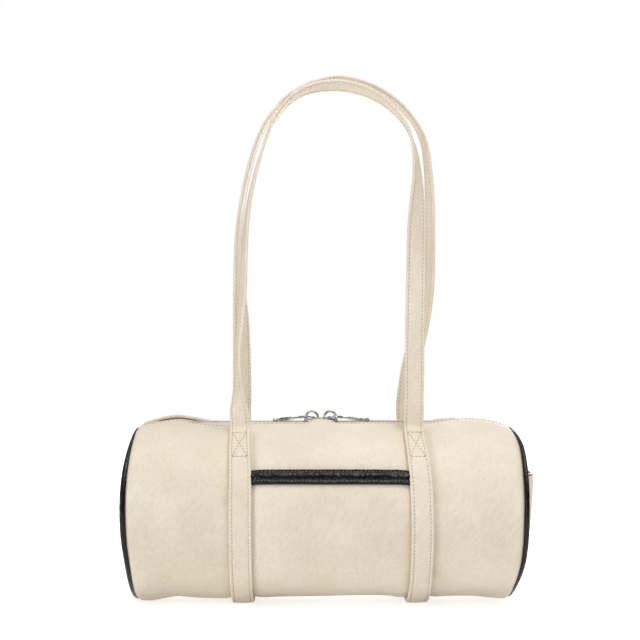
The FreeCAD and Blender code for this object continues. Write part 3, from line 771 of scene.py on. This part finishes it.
# From outside to inside: (piece, stuff, finish, how far behind the outer face, thickness, radius as a share)
END_LAYERS = (
    ("end_panel", "leather", CREAM, 0.0, END_LEATHER, 1.0),
    ("end_stiffener", "board", BOARD, BOARD_SET_BACK, BOARD_THICKNESS, 0.985),
    ("lining_end", "cloth", LINING_CLOTH, LINING_BACK, CLOTH_THICKNESS, 0.98),
)
PIPING = (piping_high.x - piping_low.x) / 2
PIPING_GAP = 0.1
PIPING_RUN = HALF_LENGTH + PIPING + PIPING_GAP
PIPING_SINK = 1.2
PIPING_CREASE = 0.07
CREASE_LENGTH = 4
# How far the left (-1) and right (1) piping slip in under the leather: (at the rim's top, at its bottom)
TUCK = {-1: (2.6, 1.8), 1: (1.0, 1.8)}


def piping(side):
    cord = bmesh.new()
    bend_wire(cord, PIPING, Matrix.Translation((0, RADIUS, 0)), axis=(1, 0, 0), segments=16,
              steps=2 * ROUND_STEPS)
    for vert in cord.verts:
        x, y, z = vert.co
        turn = math.atan2(z, y)
        crease = 1 + PIPING_CREASE * noise.noise(vert.co / CREASE_LENGTH)
        tuck = TUCK[side][0 if z > 0 else 1] * math.sin(turn) ** 2
        out = (math.hypot(y, z) - RADIUS) * crease - PIPING_SINK - tuck / 2
        vert.co = barrel_point(side * (PIPING_RUN + x * crease), turn, out) - Vector((side * tuck, 0, 0))
    face_outwards(cord)
    return cord


for side, word in ENDS:
    for piece, stuff, finish, set_back, thickness, radius in END_LAYERS:
        profile = slab(dome(END_REACH - set_back, END_EDGE - set_back), thickness, radius)
        show(f"{piece}_{word}_{stuff}", end_disc(side, profile), finish, f"{piece}_{word}", sharp=50)
    show(f"piping_{word}_leather", piping(side), BLACK, f"piping_{word}")

# %% [markdown]
# ## The pocket on the right end
# This pocket is a second, deeper dome over the end panel, cut straight across at its mouth. Making only the
# lower half would need a new outline, so the whole disc is turned and a plane cuts its top away. A thin
# black binding runs along the cut, swept along the same surface.

# %% End pocket
pocket_low, pocket_high = node_box("end_pocket_panel")
END_MOUTH = pocket_high.z
END_POCKET_GIVE = 3.0  # how much less than the frame's the empty pocket stands out
END_POCKET_REACH = pocket_high.x - MIDDLE - HALF_LENGTH - END_POCKET_GIVE
END_POCKET_LEATHER = 1.3
END_POCKET_EDGE = 1.6
END_POCKET_RINGS = 24
POCKET_CORNER = 8  # the power that rounds the pocket's rim: the higher, the squarer
POCKET_DISH = 0.25  # how far its middle falls in, as a share of its height
FOOT_FULLNESS = 0.1  # how much of its height is left at its foot, and how fast it fills above that
FULLNESS_POWER = 1.2


def end_pocket_face(share):
    shape = 1 - share ** POCKET_CORNER - POCKET_DISH * (1 - share ** 2) ** 2
    return END_POCKET_EDGE + (END_POCKET_REACH - END_POCKET_EDGE) * shape


def fullest_at_the_mouth(height, level):
    """Flattens the pocket towards its foot: it hangs open at the mouth."""
    rise = max((level - pocket_low.z) / (END_MOUTH - pocket_low.z), 0)
    full = FOOT_FULLNESS + (1 - FOOT_FULLNESS) * rise ** FULLNESS_POWER
    return END_POCKET_EDGE + (height - END_POCKET_EDGE) * (full if height > END_POCKET_EDGE else 1.0)


pocket_profile = slab(end_pocket_face, END_POCKET_LEATHER, rings=END_POCKET_RINGS)
end_pocket = end_disc(1, pocket_profile, fullest_at_the_mouth)
bmesh.ops.bisect_plane(end_pocket, geom=end_pocket.verts[:] + end_pocket.edges[:] + end_pocket.faces[:],
                       plane_co=(0, 0, END_MOUTH), plane_no=(0, 0, 1), clear_outer=True)
close_ends(end_pocket)
show("end_pocket_leather", end_pocket, CREAM, "end_pocket_panel", sharp=50)


# %% End pocket's binding
def end_pocket_place(y, z, lift):
    """A point of the end pocket's outer face at that width and height."""
    turn = math.atan2(z - END_CENTRE, y)
    rim = barrel_point(HALF_LENGTH, turn, -END_INSET)
    share = min(1.0, math.hypot(y, z - END_CENTRE) / math.hypot(rim.y, rim.z - END_CENTRE))
    place = end_point(1, share, turn, fullest_at_the_mouth(end_pocket_face(share), z))
    return Vector((place.x + lift, y, z))


binding_low, binding_high = node_box("end_pocket_binding")
END_BINDING = (binding_high.z - binding_low.z) / 5  # half its height: it is pulled narrower than the frame's
END_BINDING_LEVEL = END_MOUTH + END_BINDING / 2
END_BINDING_STEP = 2.0
# (height as a share of that half, millimetres out from the pocket)
END_BINDING_OUTLINE = (
    (-1.0, 0.2), (-0.7, 0.4), (0.0, 0.5), (0.7, 0.35), (1.0, -0.1), (1.0, -1.2), (0.7, -1.9), (0.0, -2.1),
    (-0.7, -1.9), (-1.0, -1.5),
)
end_binding = sweep(
    [(height * END_BINDING, lift) for height, lift in END_BINDING_OUTLINE],
    binding_high.y - binding_low.y, END_BINDING_STEP,
    lambda run, height, lift: end_pocket_place(binding_low.y + run, END_BINDING_LEVEL + height, lift),
)
show("end_pocket_edge", end_binding, BLACK, "end_pocket_binding", sharp=50)

# %% [markdown]
# ## Bands and straps
# A strap is a folded strip with a rounded edge and a seam along each side, which draws a shallow groove. It
# lies flat round the barrel as a band, whose seams pull the leather in, leaves the barrel near the top,
# turns edge on as it rises and lies flat at the top of its loop. Band and strap share one outline. A curve
# with a bevel could carry it, but its twist is hard to steer, so the strip is swept along a rail: a list of
# places, each with its own direction across and out.

# %% The strap's outline and the bands
STRAP_HALF = 8.4
SEAM_FROM_EDGE = 2.4
GROOVE = STRAP_HALF - SEAM_FROM_EDGE
GROOVE_LIFT = 0.9
HALF_FACE = (
    (STRAP_HALF, 0.0), (STRAP_HALF - 0.12, 0.7), (STRAP_HALF - 0.6, 1.25), (STRAP_HALF - 1.2, 1.4),
    (GROOVE + 0.5, 1.2), (GROOVE, GROOVE_LIFT), (GROOVE - 0.5, 1.15), (GROOVE - 1.4, 1.3), (GROOVE / 2, 1.38),
)
OUTER_FACE = [(-across, lift) for across, lift in HALF_FACE] + [(0.0, 1.4)] + list(reversed(HALF_FACE))
INNER_SHARE = 0.9
STRAP_OUTLINE = OUTER_FACE + [(across, -INNER_SHARE * lift) for across, lift in reversed(OUTER_FACE[1:-1])]
STRAP_STEP = 2.2
BAND_SEAT = 2.1  # from the leather, before it is pulled in, to the middle of the strip
BAND_DEPTH = 2.4  # the band's inner side reaches down to the leather that it pulls in
BAND_WIDENING = 1.11  # the band is pressed a little wider than the strap
WIDENING_RUN = 0.55
BOX_GAP = 1.2  # from a band's end to the box that is sewn there
BOX_LENGTH = 29.0


def band_point(word, turn, across, lift):
    from_end = max(min(turn - BAND_ENDS[0], BAND_ENDS[1] - turn) / WIDENING_RUN, 0.0)
    across *= 1 + (BAND_WIDENING - 1) * min(from_end, 1.0)
    along = through(BAND_LINES[word], turn) + across
    if lift < 0:
        lift *= BAND_DEPTH
    return barrel_point(along, turn, BAND_SEAT + pinch(along, turn) + lift)


def on_face(place):
    """Puts a seam on the strip's outer face: its lift is then counted from there."""
    return lambda run, across, lift: place(run, across, through(OUTER_FACE, across) + lift)


def band(word):
    first, last = BAND_ENDS
    reach = RADIUS + BAND_SEAT
    length = (last - first) * reach

    def place(run, across, lift):
        return band_point(word, first + run / reach, across, lift)

    strip = sweep(STRAP_OUTLINE, length, STRAP_STEP, place)
    show(f"strap_band_{word}_strip", strip, CREAM, f"strap_band_{word}", sharp=60)
    lines = [((0, across), (length, across)) for across in (-GROOVE, GROOVE)]
    for start in (BOX_GAP, length - BOX_GAP - BOX_LENGTH):
        end = start + BOX_LENGTH
        lines += [((start, -GROOVE), (start, GROOVE)), ((end, -GROOVE), (end, GROOVE)),
                  ((start, -GROOVE), (end, GROOVE)), ((start, GROOVE), (end, -GROOVE))]
    sew(f"strap_band_{word}_stitches", lines, on_face(place), THREAD)


for _, word in ENDS:
    band(word)

# %% The straps' course
# What the photograph shows of each strap, from its left foot to its right one: pixels to the right and down
# of the strip's middle, and how far it has turned from facing the front (0) to lying flat (1), or past that
FRONT_SEEN = (
    (239.0, 411, 0.2), (238.4, 400, 0.5), (238.2, 380, 0.79), (238.2, 350, 0.86), (240.4, 320, 0.8),
    (242.6, 290, 0.76), (244.6, 250, 0.82), (248.0, 210, 0.88), (254.5, 178, 0.92), (262.2, 150, 0.95),
    (271.0, 126, 1.0), (279.5, 112, 1.03), (290.0, 100, 1.08), (303.0, 91.5, 1.15), (320.0, 86.5, 1.22),
    (340.0, 85.5, 1.25), (360.0, 89.5, 1.22), (379.0, 98, 1.16), (396.0, 112, 1.08), (408.0, 129, 0.99),
    (414.6, 150, 0.86), (417.3, 175, 0.7), (417.2, 200, 0.47), (416.3, 230, 0.24), (415.6, 280, 0.13),
    (414.8, 330, 0.08), (414.2, 380, 0.04), (414.0, 408, 0.02),
)
BACK_SEEN = (
    (241.6, 411, 0.06), (242.0, 398, 0.12), (242.0, 375, 0.22), (241.8, 350, 0.32), (241.0, 320, 0.42),
    (239.2, 290, 0.64), (238.0, 262, 0.8), (238.4, 240, 0.85), (241.2, 210, 0.9), (247.2, 178, 0.92),
    (254.5, 150, 0.95), (265.0, 125, 0.97), (274.0, 112.5, 0.97), (284.5, 100.5, 0.95), (300.0, 90, 0.92),
    (317.0, 83, 0.9), (340.0, 79.5, 0.88), (362.0, 84, 0.88), (381.0, 92, 0.9), (398.5, 104.5, 0.92),
    (412.0, 119.5, 0.93), (420.6, 134, 0.91), (425.6, 151, 0.87), (428.3, 175, 0.82), (429.6, 200, 0.78),
    (430.2, 230, 0.77), (429.5, 280, 0.76), (426.4, 305, 0.68), (420.5, 330, 0.5), (412.5, 358, 0.25),
    (408.0, 383, 0.1), (405.3, 408, 0.04),
)
PICTURE = 640  # pixels each way
PIXELS_AT_ONE_MM = LENS / camera.data.sensor_width * PICTURE
STRAP_FOOT = node_box("strap_front_leg_right")[0].z
STRAP_TOP = node_box("strap_front_loop")[1].z
STRAP_FOOT_OUT = 32.0  # how far in front of the middle, or behind it, a strap stands at its foot and its top
STRAP_TOP_OUT = 9.5
LEAVE_RISE = math.radians(64.5)  # how far above level the strap leaves the barrel
STRAP_BEND = 6.0  # the radius of the bend there
BEND_LEANS = (0.75, 0.5, 0.28)  # the lean that is left at places along that bend, as a share of all of it
RAIL_STEP = 1.5
LOOK_AHEAD = 0.5
ROUNDS = 8  # a strap's depth depends on its height and its height on its depth, so they are found in rounds


def seen_place(side, x, y):
    """The place of a point of the front (-1) or back (1) strap, which leans in from its foot to its top."""
    height = STRAP_FOOT
    for _ in range(ROUNDS):
        share = (height - STRAP_FOOT) / (STRAP_TOP - STRAP_FOOT)
        depth = side * (STRAP_FOOT_OUT + (STRAP_TOP_OUT - STRAP_FOOT_OUT) * share)
        scale = PIXELS_AT_ONE_MM / (depth - CAMERA_PLACE.y)
        height = CAMERA_PLACE.z - (y - PICTURE / 2) / scale
    return Vector((CAMERA_PLACE.x + (x - PICTURE / 2) / scale, depth, height))


def foot_points(side, word):
    """The strip's middle from the band's cut up to where it stands upright, first lying on the barrel."""
    points = []
    for rise in (CUT_RISE, (CUT_RISE + LEAVE_RISE) / 2, LEAVE_RISE):
        turn = math.pi / 2 + side * (rise - math.pi / 2)
        points.append(band_point(word, turn if side < 0 else turn + math.tau, 0, 0))
    left_at = points[-1]
    for lean in BEND_LEANS:
        angle = LEAVE_RISE * lean
        inward = STRAP_BEND * (math.cos(angle) - math.cos(LEAVE_RISE))
        up = STRAP_BEND * (math.sin(LEAVE_RISE) - math.sin(angle))
        points.append(left_at + Vector((0, -side * inward, up)))
    return points


# %% The straps' rails
def strap_rail(side, seen):
    """Places along a strap from one band's cut to the other's: (run, middle, across, out)."""
    stations = [(point, 0.0) for point in foot_points(side, "left")]
    for x, y, turned in seen:
        stations.append((seen_place(side, x, y), turned * math.pi / 2))
    stations += [(point, 0.0) for point in reversed(foot_points(side, "right"))]
    runs = [0.0]
    for (before, _), (after, _) in zip(stations, stations[1:]):
        runs.append(runs[-1] + (after - before).length)
    line = [(run, point) for run, (point, _) in zip(runs, stations)]
    twist = [(run, angle) for run, (_, angle) in zip(runs, stations)]
    total = runs[-1]
    count = round(total / RAIL_STEP)
    rail = []
    for number in range(count + 1):
        run = total * number / count
        ahead = through(line, min(run + LOOK_AHEAD, total)) - through(line, max(run - LOOK_AHEAD, 0))
        ahead.normalize()
        flat = Vector((ahead.z, 0, -ahead.x)).normalized()
        angle = through(twist, run)
        across = flat * math.cos(angle) + Vector((0, side, 0)) * math.sin(angle)
        across = (across - ahead * across.dot(ahead)).normalized()
        rail.append((run, through(line, run), across, ahead.cross(across) * side))
    return rail


def rail_point(rail, start, run, across, lift):
    """A point of the strip, run millimetres on from a start on its rail, between the two nearest places."""
    run += start
    index = min(max(bisect_right(rail, run, key=lambda place: place[0]) - 1, 0), len(rail) - 2)
    (before_run, *before), (after_run, *after) = rail[index], rail[index + 1]
    share = (run - before_run) / (after_run - before_run)
    middle, wide, out = (first.lerp(second, share) for first, second in zip(before, after))
    return middle + wide * across + out * lift


# %% Straps
# Below the piece cut a strap's pieces are its two legs, above it its loop
PIECE_CUT = STRAP_FOOT + (STRAP_TOP - STRAP_FOOT) / 4
LEG_BEND = (145.5, 171)  # two heights given with each leg
LOOP_BEND = (262, 296)


def strap(word, side, seen):
    rail = strap_rail(side, seen)
    total = rail[-1][0]
    upper = [run for run, middle, _, _ in rail if middle.z > PIECE_CUT]
    legs, top = f"strap_{word}_legs", f"strap_{word}_top"
    pieces = (
        (f"strap_{word}_leg_left", 0.0, upper[0], "bag", legs, LEG_BEND),
        (f"strap_{word}_loop", upper[0], upper[-1], legs, top, LOOP_BEND),
        (f"strap_{word}_leg_right", upper[-1], total, "bag", legs, LEG_BEND),
    )
    for name, first, last, low_body, high_body, (bend_start, bend_end) in pieces:
        place = partial(rail_point, rail, first)
        strip = sweep(STRAP_OUTLINE, last - first, STRAP_STEP, place)
        lines = [((0, across), (last - first, across)) for across in (-GROOVE, GROOVE)]
        soft_pieces = (
            show(f"{name}_strip", strip, CREAM, name, body=None, sharp=60),
            sew(f"{name}_outer_stitches", lines, on_face(place), THREAD, body=None),
            sew(f"{name}_inner_stitches", lines, place, THREAD, lift=-INNER_SHARE * GROOVE_LIFT - THREAD_LIFT,
                body=None),
        )
        for soft in soft_pieces:
            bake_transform(soft)
    print(f"strap_{word}: {total:.0f} mm of strip above the bands")


strap("front", -1, FRONT_SEEN)
strap("back", 1, BACK_SEEN)

# %% [markdown]
# ## The pocket on the front
# The patch lies between the bands and its bottom edge is sewn under the barrel. Its top edge is bound in
# black: a strip folded over the edge and sewn twice. The patch is wrapped from one band's edge to the
# other's, so that it follows their slight bow, and it stands off the barrel a little in the middle, as an
# empty pocket does.

# %% Front pocket
front_binding_low, front_binding_high = node_box("front_pocket_binding")
BINDING_LEVEL = (front_binding_low.z + front_binding_high.z) / 2
BINDING_OUT = 3  # from the frame's circle to the middle of the binding
BINDING_TURN = math.pi - math.asin((BINDING_LEVEL - AXIS) / (RADIUS + BINDING_OUT))
PATCH_FOOT = math.pi + math.radians(63)
PATCH_LEATHER = 1.2
PATCH_LIFT = 1.6
PATCH_SLACK = 0.9
PATCH_GRID = (96, 90)
# Sewn edges are drawn in: (millimetres deep, share of the patch)
PATCH_EDGE = (0.9, 0.03)
PATCH_HEM = (0.8, 0.02)


def between_bands(share, turn):
    """Millimetres along the barrel, from the left band's edge at share 0 to the right band's at share 1."""
    left = through(BAND_LINES["left"], turn) + STRAP_HALF
    right = through(BAND_LINES["right"], turn) - STRAP_HALF
    return left + (right - left) * share


def patch_place(x, y):
    turn = BINDING_TURN + (PATCH_FOOT - BINDING_TURN) * y
    slack = PATCH_SLACK * math.sin(math.pi * x) * math.sin(math.pi * y)
    drawn_in = PATCH_EDGE[0] * near(min(x, 1 - x), PATCH_EDGE[1]) + PATCH_HEM[0] * near(1 - y, PATCH_HEM[1])
    return barrel_point(between_bands(x, turn), turn, PATCH_LIFT + slack - drawn_in)


patch = wrapped(*PATCH_GRID, patch_place, flip=True)
show("front_pocket_leather", patch, CREAM, "front_pocket_panel", thickness=PATCH_LEATHER)

# %% Front pocket's binding
BINDING_SEAMS = (-4.2, 3.1)
BINDING_FACE = (
    (-6.3, 0.0), (-6.2, 0.8), (-5.7, 1.3), (-4.9, 1.3), (-4.2, 0.9), (-3.5, 1.3), (-2.4, 1.8), (-0.6, 2.1),
    (1.2, 1.8), (2.4, 1.2), (3.1, 0.8), (3.8, 1.2), (4.9, 1.5), (5.8, 1.2), (6.2, 0.6), (6.3, 0.0),
)
BINDING_OUTLINE = BINDING_FACE + ((5.8, -0.9), (3.0, -1.1), (-3.0, -1.1), (-5.8, -0.9))
BINDING_SEAT = 2.6
BINDING_LENGTH = between_bands(1, BINDING_TURN) - between_bands(0, BINDING_TURN)
BINDING_STEP = 0.8
WRINKLE = 0.45  # as a share of the binding's height
WRINKLE_LENGTH = 2.2
WRINKLE_DEPTH = 5
SEAM_INSET = 2
SEAM_PITCH = 3.0
SEAM_LIFT = 0.95
TACK_INSET = 0.8
TACK_REACH = 5.6
TACK_PITCH = 2.0
TACK_LIFT = 1.5


def binding_place(run, down, lift):
    turn = BINDING_TURN + down / RADIUS
    wrinkle = 1 + WRINKLE * noise.noise(Vector((run / WRINKLE_LENGTH, down / WRINKLE_DEPTH, 0)))
    return barrel_point(between_bands(run / BINDING_LENGTH, turn), turn, BINDING_SEAT + lift * wrinkle)


binding = sweep(BINDING_OUTLINE, BINDING_LENGTH, BINDING_STEP, binding_place)
show("front_pocket_edge", binding, BLACK, "front_pocket_binding", sharp=50)
seam_lines = [((SEAM_INSET, down), (BINDING_LENGTH - SEAM_INSET, down)) for down in BINDING_SEAMS]
sew("front_pocket_binding_stitches", seam_lines, binding_place, GREY_THREAD_PAINTED_SHINE, SEAM_PITCH, SEAM_LIFT)
tack_lines = [((run, -TACK_REACH), (run, TACK_REACH)) for run in (TACK_INSET, BINDING_LENGTH - TACK_INSET)]
sew("front_pocket_binding_tacks", tack_lines, binding_place, BLACK, TACK_PITCH, TACK_LIFT)

# %% [markdown]
# ## Lining
# The lining is a thin cloth tube inside the leather, open along the mouth. It shows only through an open
# zip, but a bag without it would look hollow there. It is wrapped on the same barrel, set back by the
# leather's thickness.

# %% Lining
LINING_SET_BACK = 3.2
LINING_END_GAP = 5.5
LINING_HEM = 4  # from the lip down to the lining's edge
LINING_MOUTH = LIP_TURN + LINING_HEM / RADIUS
LINING_GRID = (80, 120)


def lining_place(x, y):
    along = (2 * x - 1) * (HALF_LENGTH - LINING_END_GAP)
    turn = math.pi / 2 + LINING_MOUTH + y * 2 * (math.pi - LINING_MOUTH)
    return barrel_point(along, turn, -LINING_SET_BACK)


lining = wrapped(*LINING_GRID, lining_place, flip=True)
show("lining_barrel_cloth", lining, LINING_CLOTH, "lining_barrel", thickness=CLOTH_THICKNESS)

# %% [markdown]
# ## The zip
# A cloth tape runs under each lip, with teeth along its edge that lock into those of the other tape. Behind
# a slider that moves away the two sides part. Each side is cut where the sliders meet, into a half for each
# slider.

# %% Tapes
zip_low, zip_high = node_box("zip_teeth_front")
CHAIN_LEVEL = (zip_low.z + zip_high.z) / 2
ZIP_DIP = ((-162, -9.0), (-155, -3.2), (-148, 0.0), (146, 0.0), (153, -2.0), (162, -6.6))
TAPE_INNER = 2.4
TAPE_UNDER_LIP = 7.0
TAPE_GAP = 0.3  # below the leather that is turned in at the lip
TAPE_THICKNESS = 0.5
TAPE_REACH = HALF_LENGTH + 0.6  # the tapes end in the end seams
TAPE_CLOSED = 0.98  # how nearly the two tapes meet at their ends, over which length, and how suddenly
CLOSED_REACH = 9.0
CLOSED_POWER = 12
TAPE_RIPPLE = 0.25
TAPE_RIPPLE_LENGTH = 9
TAPE_GRID = (110, 10)


def parts_with_slider(made):
    """Gives a half of one side of the zip its own copy of its mesh."""
    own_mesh(made)


def chain_point(along, aside):
    """A point of the zip's line, which dips and leans at both ends as the barrel's top does."""
    return Vector((barrel_point(along, math.pi / 2).x, aside, CHAIN_LEVEL + through(ZIP_DIP, along)))


def tape_place(side, along, share):
    """A point of a tape: share 0 is its edge by the teeth, a half the lip's seam and 1 its hidden edge."""
    closed = TAPE_CLOSED * near(TAPE_REACH - abs(along), CLOSED_REACH, CLOSED_POWER)
    inner = chain_point(along, side * TAPE_INNER * (1 - closed))
    under_lip = -2 * FOLD - TAPE_GAP
    seam = panel_point(side, along, LIP_SEAM, under_lip)
    outer = panel_point(side, along, TAPE_UNDER_LIP, under_lip)
    seam.x = outer.x = inner.x
    place = inner.lerp(seam, 2 * share) if share < 0.5 else seam.lerp(outer, 2 * share - 1)
    place.z += TAPE_RIPPLE * noise.noise(Vector((along / TAPE_RIPPLE_LENGTH, side, share * 2)))
    return place


for side, side_word in FACES:
    for half, word in ENDS:
        first, last = sorted((SLIDERS_MEET, half * TAPE_REACH))
        run = last - first
        tape = wrapped(*TAPE_GRID, lambda x, y: tape_place(side, first + x * run, y), flip=side < 0)
        bmesh.ops.solidify(tape, geom=tape.faces[:], thickness=TAPE_THICKNESS)
        made = show(f"zip_tape_{side_word}_{word}", tape, TAPE_CLOTH, f"zip_tape_{side_word}", sharp=60)
        parts_with_slider(made)

# %% Teeth and stops
ZIP_ENDS = {end: corner.x - MIDDLE for (end, _), corner in zip(ENDS, node_box("zip_tape_front"))}
TOOTH_PITCH = 2.0
TOOTH_SIZE = (0.95, 3.9, 2.1)
TOOTH_REACH = 1.0  # how far a tooth reaches past the zip's line
TOOTH_ROUND = 0.28
TOOTH_PHASE = {-1: 0.0, 1: 0.5}  # the back teeth stand between the front ones
POST_ROOM = 2.3  # how far the teeth stand apart where the sliders meet, and how far along
POST_REACH = 5.0
STOP_SIZE = (2.6, 5.6, 2.4)
STOP_ROUND = 0.5


def block(shape, middle, size):
    """Adds a block and gives back its points."""
    place = Matrix.Translation(middle) @ Matrix.Diagonal((*size, 1))
    return bmesh.ops.create_cube(shape, size=1, matrix=place)["verts"]


def rounded(shape, width, segments=1):
    bmesh.ops.bevel(shape, geom=shape.edges[:], offset=width, segments=segments, affect="EDGES", profile=0.5,
                    material=-1, clamp_overlap=True)


def zip_teeth(side, half):
    """The teeth on one half of one tape, from where the sliders meet to the stop."""
    phase = TOOTH_PHASE[side]
    near_stop = ZIP_ENDS[half] - half * (STOP_SIZE[0] + TOOTH_SIZE[0] / 2)
    first, last = sorted((SLIDERS_MEET + half * TOOTH_PITCH / 4, near_stop))
    teeth = bmesh.new()
    for number in range(math.ceil(first / TOOTH_PITCH - phase), math.floor(last / TOOTH_PITCH - phase) + 1):
        along = (number + phase) * TOOTH_PITCH
        aside = TOOTH_SIZE[1] / 2 - TOOTH_REACH + POST_ROOM * near(along - SLIDERS_MEET, POST_REACH)
        block(teeth, chain_point(along, side * aside), TOOTH_SIZE)
    rounded(teeth, TOOTH_ROUND)
    return teeth


for side, side_word in FACES:
    for half, word in ENDS:
        teeth = zip_teeth(side, half)
        made = show(f"zip_teeth_{side_word}_{word}", teeth, TOOTH, f"zip_teeth_{side_word}", sharp=60)
        parts_with_slider(made)

stops = bmesh.new()
for half, zip_end in ZIP_ENDS.items():
    block(stops, chain_point(zip_end - half * STOP_SIZE[0] / 2, 0), STOP_SIZE)
rounded(stops, STOP_ROUND, segments=3)
show("zip_stops_metal", stops, NICKEL_PAINTED_REFLECTIONS, "zip_stops", sharp=40)

# %% [markdown]
# ## Sliders and pulls
# A slider is two plates on a post, with flanges that close the teeth, and an arched crown on top that
# carries the pull. All edges of such a casting are round, and metal shows it, so every edge gets a bevel.
# The crown is a wire circle spun through half a turn. The pull has an eye round the crown, a slim bar and a
# round bead at its tip.

# %% Sliders
PLATE = 1.5
PLATE_RAISE = 1.1
PLATE_NOSE = 0.55  # the width of a plate at its nose, as a share
FLANGE = (0.72, 0.85, 0.7)  # its length is a share of the slider's
FLANGE_PLACE = (-0.1, 0.45, 0.2)  # back as a share of that length, in from the side, up into the plate
SLIDER_POST = (1.8, 1.7)
POST_INSET = 2.0
SADDLE = (5.2, 4.4, 2.0)
SADDLE_SINK = 0.3
CAST_ROUND = 0.35


def slider(word, nose):
    """nose is the way to the other slider: 1 on the left slider, -1 on the right one."""
    low, high = node_box(f"slider_{word}")
    high.z += PLATE_RAISE
    length, width, height = high - low
    body = bmesh.new()
    for level in (-1, 1):
        for vert in block(body, (0, 0, level * (height - PLATE) / 2), (length, width, PLATE)):
            if vert.co.x > 0:
                vert.co.y *= PLATE_NOSE
        for flank in (-1, 1):
            back, side, up = FLANGE_PLACE
            place = (length * back, flank * (width / 2 - side), level * (height / 2 - PLATE - up))
            block(body, place, (length * FLANGE[0], *FLANGE[1:]))
    block(body, (length / 2 - POST_INSET, 0, 0), (*SLIDER_POST, height - PLATE))
    block(body, (0, 0, height / 2 + SADDLE[2] / 2 - SADDLE_SINK), SADDLE)
    rounded(body, CAST_ROUND, segments=3)
    bmesh.ops.remove_doubles(body, verts=body.verts, dist=MERGE)  # a flange is so thin that its bevels meet
    bmesh.ops.scale(body, vec=(nose, nose, 1), verts=body.verts)
    bmesh.ops.translate(body, vec=(low + high) / 2, verts=body.verts)
    face_outwards(body)
    show(f"slider_{word}_metal", body, NICKEL_PAINTED_REFLECTIONS, f"slider_{word}", body=f"slider_{word}", sharp=35)


# %% Crowns
WIRE = 0.95
WIRE_STEPS = 28
CROWN_WIDENING = 1.5
CROWN_SINK = 0.3


def crown_arch(word):
    """The middle of a crown and the radius of its arch, up to the middle of its wire."""
    low, high = node_box(f"crown_{word}")
    return (low + high) / 2, (high.x - low.x) / 2 - WIRE


def crown(word):
    low, high = node_box(f"crown_{word}")
    middle, arch = crown_arch(word)
    spring = high.z - WIRE - arch
    wire = bmesh.new()
    bend_wire(wire, WIRE, Matrix.Translation((arch, 0, 0)), axis=(0, -1, 0), segments=14, steps=WIRE_STEPS,
              angle=math.pi)
    feet = [edge for edge in wire.edges if edge.is_boundary]
    grown = bmesh.ops.extrude_edge_only(wire, edges=feet)["geom"]
    toes = [part for part in grown if isinstance(part, bmesh.types.BMVert)]
    bmesh.ops.translate(wire, vec=(0, 0, low.z - spring - CROWN_SINK), verts=toes)
    close_ends(wire)
    bmesh.ops.scale(wire, vec=(1, CROWN_WIDENING, 1), verts=wire.verts)
    bmesh.ops.translate(wire, vec=(middle.x, 0, spring), verts=wire.verts)
    show(f"crown_{word}_metal", wire, NICKEL_PAINTED_REFLECTIONS, f"crown_{word}", body=f"slider_{word}", sharp=50)


# %% Pulls
PULL_DROOP = math.radians(6)
PULL_RAISE = 0.6
EYE_RING = 1.9
EYE_WIRE = 0.85
BEAD = 2.2
BEAD_FLATNESS = 0.72
BAR_SECTION = (2.2, 1.7)
BAR_OVERLAP = 0.2  # into the eye
BAR_TIP = 0.6  # how far from the bead's middle the bar ends, as a share of the bead
COLLAR = (3.6, 3.4, 2.4)
COLLAR_PLACE = 2.6  # from the bar's start
GRIP = (12.5, 3.4, 2.6)
GRIP_PLACE = 8.5  # from the bar's end
BAR_ROUND = 0.6


def pull(word, nose):
    low, high = node_box(f"pull_{word}")
    middle, arch = crown_arch(word)
    eye = -arch
    tip = eye - (high.x - low.x) + EYE_RING
    bar_start, bar_end = eye - EYE_RING + BAR_OVERLAP, tip + BEAD * BAR_TIP
    shape = bmesh.new()
    block(shape, ((bar_start + bar_end) / 2, 0, 0), (bar_start - bar_end, *BAR_SECTION))
    block(shape, (bar_start - COLLAR_PLACE, 0, 0), COLLAR)
    block(shape, (bar_end + GRIP_PLACE, 0, 0), GRIP)
    rounded(shape, BAR_ROUND, segments=3)
    bead_place = Matrix.Translation((tip, 0, 0)) @ Matrix.Diagonal((1.0, 1.0, BEAD_FLATNESS, 1))
    bmesh.ops.create_uvsphere(shape, u_segments=16, v_segments=10, radius=BEAD, matrix=bead_place)
    eye_section = Matrix.Translation((eye + EYE_RING, 0, 0)) @ Matrix.Rotation(math.pi / 2, 4, "X")
    bend_wire(shape, EYE_WIRE, eye_section, axis=(0, 0, 1), segments=12, steps=WIRE_STEPS, centre=(eye, 0, 0))
    face_outwards(shape)
    bmesh.ops.rotate(shape, cent=(eye, 0, 0), matrix=Matrix.Rotation(-PULL_DROOP, 3, "Y"), verts=shape.verts)
    bmesh.ops.scale(shape, vec=(nose, nose, 1), verts=shape.verts)
    bmesh.ops.translate(shape, vec=(middle.x, 0, (low.z + high.z) / 2 + PULL_RAISE), verts=shape.verts)
    show(f"pull_{word}_metal", shape, NICKEL_PAINTED_REFLECTIONS, f"pull_{word}", body=f"pull_{word}", sharp=35)


for end, word in ENDS:
    slider(word, -end)
    crown(word)
for end, word in ENDS:
    pull(word, -end)
